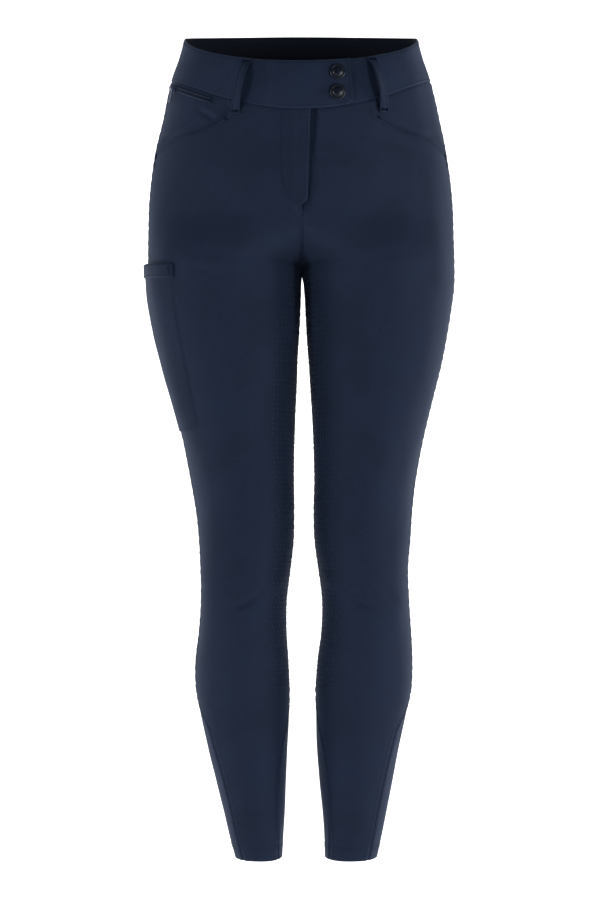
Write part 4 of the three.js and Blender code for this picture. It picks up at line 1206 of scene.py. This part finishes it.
def edge_line(side, z, edge, distance, lift=0.0, lift_fn=None):
    """A row that keeps a distance, in millimetres of cloth, from an edge given as angles."""
    angle = edge + distance * degrees_for(side, edge, z)
    level = row_height(angle, z)
    extra = lift_fn(angle, z, level) if lift_fn else 0.0
    return raised(side, angle, level, lift + extra + ON_CLOTH)


front_rows = []
mouth_z = np.linspace(-27, -121, 60)
for side in (RIGHT, LEFT):
    for distance, count in ((-2.0, 60), (-8.0, 54)):
        front_rows.append(edge_line(side, mouth_z[:count], mouth_angle(mouth_z[:count]), distance))

# The curved row beside the fly runs straight down, then turns in to the centre between these heights
FLY_STITCH_X, FLY_TURN, FLY_TURN_END = 23.0, -136, -178
j_row = []
for level in np.linspace(float(band_foot(-80.0)) - 1, -178, 90):
    t = np.clip((level - FLY_TURN) / (FLY_TURN_END - FLY_TURN), 0, 1)
    x = FLY_STITCH_X * math.sqrt(max(1 - float(t) ** 2.2, 0))
    angle = np.float64(angle_at(RIGHT, -1, np.float64(level), max(x, 0.2)))
    lift = float(fly_lift(angle, level, np.float64(level)))
    j_row.append(raised(RIGHT, angle, np.float64(level), lift + ON_CLOTH))
front_rows.append(np.array(j_row))

edge_levels = np.linspace(float(band_foot(-90.0)) - 1, -174, 60)
edge_x = fly_lap(edge_levels) - 2.2
edge_angle = np.where(edge_x > 0, angle_at(RIGHT, -1, edge_levels, -edge_x), angle_at(RIGHT, -1, edge_levels, 0.0))
front_rows.append(raised(RIGHT, edge_angle, edge_levels, fly_lift(edge_angle, edge_levels, edge_levels) + ON_CLOTH))
below_fly = np.linspace(-192, -238, 26)
front_rows.append(raised(RIGHT, angle_at(RIGHT, -1, below_fly, 2.4), below_fly, 0.25))
front_stitches = sewn("fly_and_pocket_mouth_stitches", front_rows)

seam_rows = []
for side in (RIGHT, LEFT):
    z = np.linspace(CALF_TOP - 6, HEM + 16, 80)
    for edge, way in ((insert_outer, -1), (insert_inner, 1)):
        angle = edge(z) + way * degrees_for(side, edge(z), z, 2.4)
        seam_rows.append(raised(side, angle, z, 0.3 + ON_CLOTH))
    turn = np.linspace(SIDE_SEAM + 3, 180, 90)
    seam_rows.append(raised(side, turn, np.full_like(turn, CALF_TOP + 2.4), 0.3 + ON_CLOTH))
    around = np.linspace(-180, 180, 130)
    for above in (12.0, 15.5):
        seam_rows.append(raised(side, around, np.full_like(around, HEM + above), ON_CLOTH - 0.05))
    z = np.linspace(-30, -232, 90)
    level = row_height(90, z)
    for distance in (2.4, 8.0):
        seam_rows.append(raised(side, angle_at(side, 1, level, distance), level, 0.3 + ON_CLOTH))
seam_stitches = sewn("seam_and_hem_stitches", seam_rows)

pocket_rows = []
down = np.linspace(0.01, 0.93, 60)
for t in (0.028, 0.972):
    tt = np.full_like(down, t)
    pocket_rows.append(pocket_point(tt, down, patch_lift(tt, down)[0] + ON_CLOTH))
foot_t = np.linspace(0.03, 0.97, 40)
foot_s = 0.985 - 0.055 * np.abs(2 * foot_t - 1) ** 6
pocket_rows.append(pocket_point(foot_t, foot_s, patch_lift(foot_t, foot_s)[0] + ON_CLOTH))
hem_t = np.linspace(0.02, 0.98, 50)
for drop in (0.1, 0.86):
    pocket_rows.append(hem_point(hem_t, np.full_like(hem_t, drop), HEM_CLOTH + ON_CLOTH))
pocket_stitches = sewn("thigh_pocket_stitches", pocket_rows)

loop_rows = []
for loop in LOOPS:
    t = np.linspace(0.02, 0.98, 50)
    across = loop_across(loop[1], loop[2], float(band_foot(loop[2])) - loop[4])
    outer = loop_path(loop, t)
    for way in (-1, 1):
        away = unit(outer - loop_path(loop, t, 1.0))
        lift = 0.3 - way * loop[6] * (1 - 3.6 / LOOP_WIDTH) * loop_bow(t)
        loop_rows.append(outer + across * way * (LOOP_WIDTH / 2 - 1.8) + away * lift[:, None])
loop_stitches = sewn("belt_loop_stitches", loop_rows)

# Bartacks: side, angle, z, slope from level, lift, length
def tack(side, angle, z, slope, lift, length=9.0):
    out = body_normal(side, np.float64(angle), np.float64(z))
    place = raised(side, np.float64(angle), np.float64(z), lift)
    level_way = unit(body_point(side, angle + 0.5, z) - body_point(side, angle - 0.5, z))
    up = np.cross(out, level_way)
    along = level_way * math.cos(math.radians(slope)) + up * math.sin(math.radians(slope))
    return bartack(place, along, out, length)


tacks = []
for side in (RIGHT, LEFT):
    z = -50.0
    angle = float(mouth_angle(z)) - float(degrees_for(side, float(mouth_angle(z)), z, 3))
    tacks.append(tack(side, angle, float(row_height(angle, z)), -46, 0.4, 9 if side == RIGHT else 5))
    tacks.append(tack(side, SIDE_SEAM - 5, -124.0, 80, 0.3, 7))
tacks.append(tack(RIGHT, float(angle_at(RIGHT, -1, np.float64(-182.0), 1.5)), -182.0, 90, 1.8, 8))
for t in (0.035, 0.965):
    place_angle = POCKET_FRONT - 1 + (POCKET_BACK - POCKET_FRONT + 1.5) * t
    place_z = POCKET_TOP - POCKET_TILT * (1 - t) - POCKET_HEM * 0.5
    tacks.append(tack(RIGHT, place_angle, place_z, 90, HEM_CLOTH + 1.9, POCKET_HEM - 2))
tacks.append(tack(RIGHT, ZIP_INNER + 0.5, float(row_height(ZIP_INNER, ZIP_Z)), 90, 1.4, 8))
tacks.append(tack(RIGHT, ZIP_OUTER - 0.5, float(row_height(ZIP_OUTER, ZIP_Z)), 90, 1.4, 8))
for loop in LOOPS:
    across = loop_across(loop[1], loop[2], float(band_foot(loop[2])) - loop[4])
    for t in (0.04, 0.96):
        middle_point = loop_path(loop, np.array([t]))[0]
        out = unit(middle_point - loop_path(loop, np.array([t]), 1.0)[0])
        tacks.append(bartack(middle_point, across, out, LOOP_WIDTH - 1.6, 2.2))
points, faces = tube(tacks, 0.28)
bartacks = mesh_object("bartacks", points, faces, sharp=80)

# Coil of the zip: two rows of nylon loops that meet in the middle of the tape
coil_path = []
t = np.linspace(0.02, 0.93, 640)
turn = t * (ZIP_OUTER - ZIP_INNER) / 0.36 * 2 * math.pi
for way in (-1, 1):
    s = way * (0.12 + 0.12 * np.cos(turn + (way > 0) * math.pi))
    coil_path.append(zip_point(t, s, 1.35 + 0.3 * np.sin(turn)))
points, faces = tube(coil_path, 0.24, 5)
zip_coil = mesh_object("zip_coil_teeth", points, faces, sharp=80)
lip_t = np.linspace(-0.03, 1.02, 50)
lips = [zip_point(lip_t, np.full_like(lip_t, s), 1.0 + 0.0 * lip_t) for s in (0.62, -0.62)]
points, faces = tube(lips, 1.35, 10)
zip_lips = mesh_object("zip_slit_lips", points, faces, sharp=80)
zip_lips.data.materials.append(navy_twill)
tape_rows = [zip_point(np.linspace(0.03, 0.97, 50), np.full(50, s), 1.3) for s in (0.78, -0.78)]
zip_stitches = sewn("zip_stitches", tape_rows, 2.6, 2.0)


# Grip print on the seat and the inner leg: points on a staggered grid within the printed zone
def grip_points(side, pitch=DOT_PITCH):
    rows_z = np.arange(-58, CALF_TOP + 8, -pitch * 0.866)
    points, ways = [], []
    for k, z in enumerate(rows_z):
        probe = np.linspace(20, 232, 400)
        ring = raised(side, probe, np.full_like(probe, z))
        run = np.concatenate([[0], np.cumsum(np.linalg.norm(np.diff(ring, axis=0), axis=-1))])
        stops = np.arange(pitch * (0.25 + 0.5 * (k % 2)), run[-1], pitch)
        angle = np.interp(stops, run, probe)
        seat_edge = 24 + 30 * smooth(-160, -60, z) + 16 * smooth(-420, -740, np.float64(z))
        keep = angle > seat_edge
        if z > CROTCH - 6:
            centre_limit = float(angle_at(side, 1, np.float64(z), 5.0))
            keep &= angle < centre_limit
        else:
            keep &= np.abs(angle - 180) > float(degrees_for(side, 180.0, z, 4.0))
            front_edge = 360 - 128 - 14 * float(smooth(-330, -250, z))
            keep &= angle < front_edge
        angle = angle[keep]
        zz = np.full_like(angle, z)
        wrapped = np.where(angle > 180, angle - 360, angle)
        spot = raised(side, wrapped, zz, 0.1)
        if z > -330:
            apart = np.abs(spot[:, 0]) > 3.2 + 2.0 * smooth(-330, -250, z)
            wrapped, zz, spot = wrapped[apart], zz[apart], spot[apart]
        points.append(spot)
        ways.append(body_normal(side, wrapped, zz))
    return np.concatenate(points), np.concatenate(ways)


grips = {}
for side, word in ((RIGHT, "right"), (LEFT, "left")):
    points, ways = grip_points(side)
    mesh = bpy.data.meshes.new("grip_holder")
    mesh.from_pydata((points * MM).tolist(), [], [])
    out = mesh.attributes.new("out", "FLOAT_VECTOR", "POINT")
    out.data.foreach_set("vector", ways.ravel())
    holder = in_scene("grip_holder", mesh)
    values = {"Diameter": DOT_DIAMETER * MM, "Height": DOT_HEIGHT * MM, "Material": silicone}
    grips[word] = grown(f"grip_dots_{word}", holder, DOTS, values)

# ---------------------------------------------------------------- finishes and riding
FINISH = {"waistband": (band_twill, "cloth"), "calf_insert": (calf_jersey, "stretch_cloth"), "snap": (lacquer, "snap"),
          "zip_tape": (tape, "zip_tape"), "zip_": (enamel, "zip_metal")}
for name, obj in pieces.items():
    finish, slot = next((v for k, v in FINISH.items() if name.startswith(k)), (navy_twill, "cloth"))
    obj.data.materials.clear()
    obj.data.materials.append(finish)
    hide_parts(name)
    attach(obj, "pull_tab" if name == "zip_pull" else "garment")
bartacks.data.materials.append(thread)
zip_coil.data.materials.append(coil_nylon)
sewing = (waist_stitches, front_stitches, seam_stitches, pocket_stitches, loop_stitches, zip_stitches)
for obj in (*sewing, zip_lips, bartacks, zip_coil, *grips.values()):
    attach(obj, "garment")

# The length of each belt loop along its path, in metres
for loop in LOOPS:
    length = np.linalg.norm(np.diff(loop_path(loop, np.linspace(0, 1, 60)), axis=0), axis=-1).sum() * MM

# ---------------------------------------------------------------- stage, light and camera
PX = 1.17 * MM
CAMERA = Vector((-0.0023, -2.6, -0.454))


def stage_sheet():
    """A pale floor that runs up into a backdrop behind the garment."""
    profile = [(-5.0, -1.03), (3.9, -1.03), (4.3, -1.0), (4.6, -0.86), (4.76, -0.6), (4.8, -0.2), (4.8, 6.0)]
    points, faces = [], []
    for y, z in profile:
        points += [(-5000, y * 1000, z * 1000), (5000, y * 1000, z * 1000)]
    for k in range(len(profile) - 1):
        faces.append([2 * k, 2 * k + 1, 2 * k + 3, 2 * k + 2])
    return mesh_object("pale_floor", points, faces, sharp=80)


floor = stage_sheet()
# Painted light: the paper glows and lights the garment like a lamp, dim in front and bright behind
glowing_paper, tree = material("glowing_studio_paper")
across_floor = node(tree, "ShaderNodeSeparateXYZ", {0: node(tree, "ShaderNodeTexCoord").outputs["Object"]})
glow_by_depth = node(
    tree,
    "ShaderNodeMapRange",
    {"Value": across_floor.outputs["Y"], "From Min": -0.9, "From Max": 0.6, "To Min": 0.12, "To Max": 0.92},
)
glow = node(
    tree,
    "ShaderNodeBsdfPrincipled",
    {
        "Base Color": linear("#F4F4F4"),
        "Roughness": 0.9,
        "Emission Color": linear("#FFFFFF"),
        "Emission Strength": glow_by_depth.outputs[0],
    },
)
node(tree, "ShaderNodeOutputMaterial", {"Surface": glow.outputs[0]})
floor.data.materials.append(glowing_paper)


# Lamps in pairs: name, place to the right, what both face, their width and height, watts at the left and right
LAMPS = [
    ("strip", (2.1, -0.3, -0.55), (0, 0.05, -0.55), (0.5, 1.9), (17, 27)),
    ("rear", (2.1, 1.7, -0.4), (0, 0, -0.5), (0.45, 1.4), (17, 20)),
    ("key", (2.2, -2.0, -0.35), (0, 0, -0.5), (0.45, 1.2), (26, 28)),
]
for name, (x, y, z), aim, size, powers in LAMPS:
    for word, way, power in (("left", -1, powers[0]), ("right", 1, powers[1])):
        lamp = bpy.data.lights.new(f"{word}_{name}", "AREA")
        lamp.shape, lamp.size, lamp.size_y, lamp.energy = "RECTANGLE", size[0], size[1], power
        obj = in_scene(lamp.name, lamp)
        obj.location = (way * x, y, z)
        obj.rotation_euler = (Vector(aim) - obj.location).to_track_quat("-Z", "Y").to_euler()

world = bpy.data.worlds.new("studio")
bpy.context.scene.world = world
world.use_nodes = True
world.node_tree.nodes["Background"].inputs["Color"].default_value = linear("#FFFFFF")
world.node_tree.nodes["Background"].inputs["Strength"].default_value = 0.1

camera = bpy.data.cameras.new("camera")
camera.sensor_width = 36
camera.lens = 36 / (900 * PX) * abs(CAMERA.y)
camera_object = in_scene("camera", camera)
camera_object.location = CAMERA
camera_object.rotation_euler = (math.radians(90), 0, 0)
bpy.context.scene.camera = camera_object
bpy.context.scene.view_settings.view_transform = "Standard"
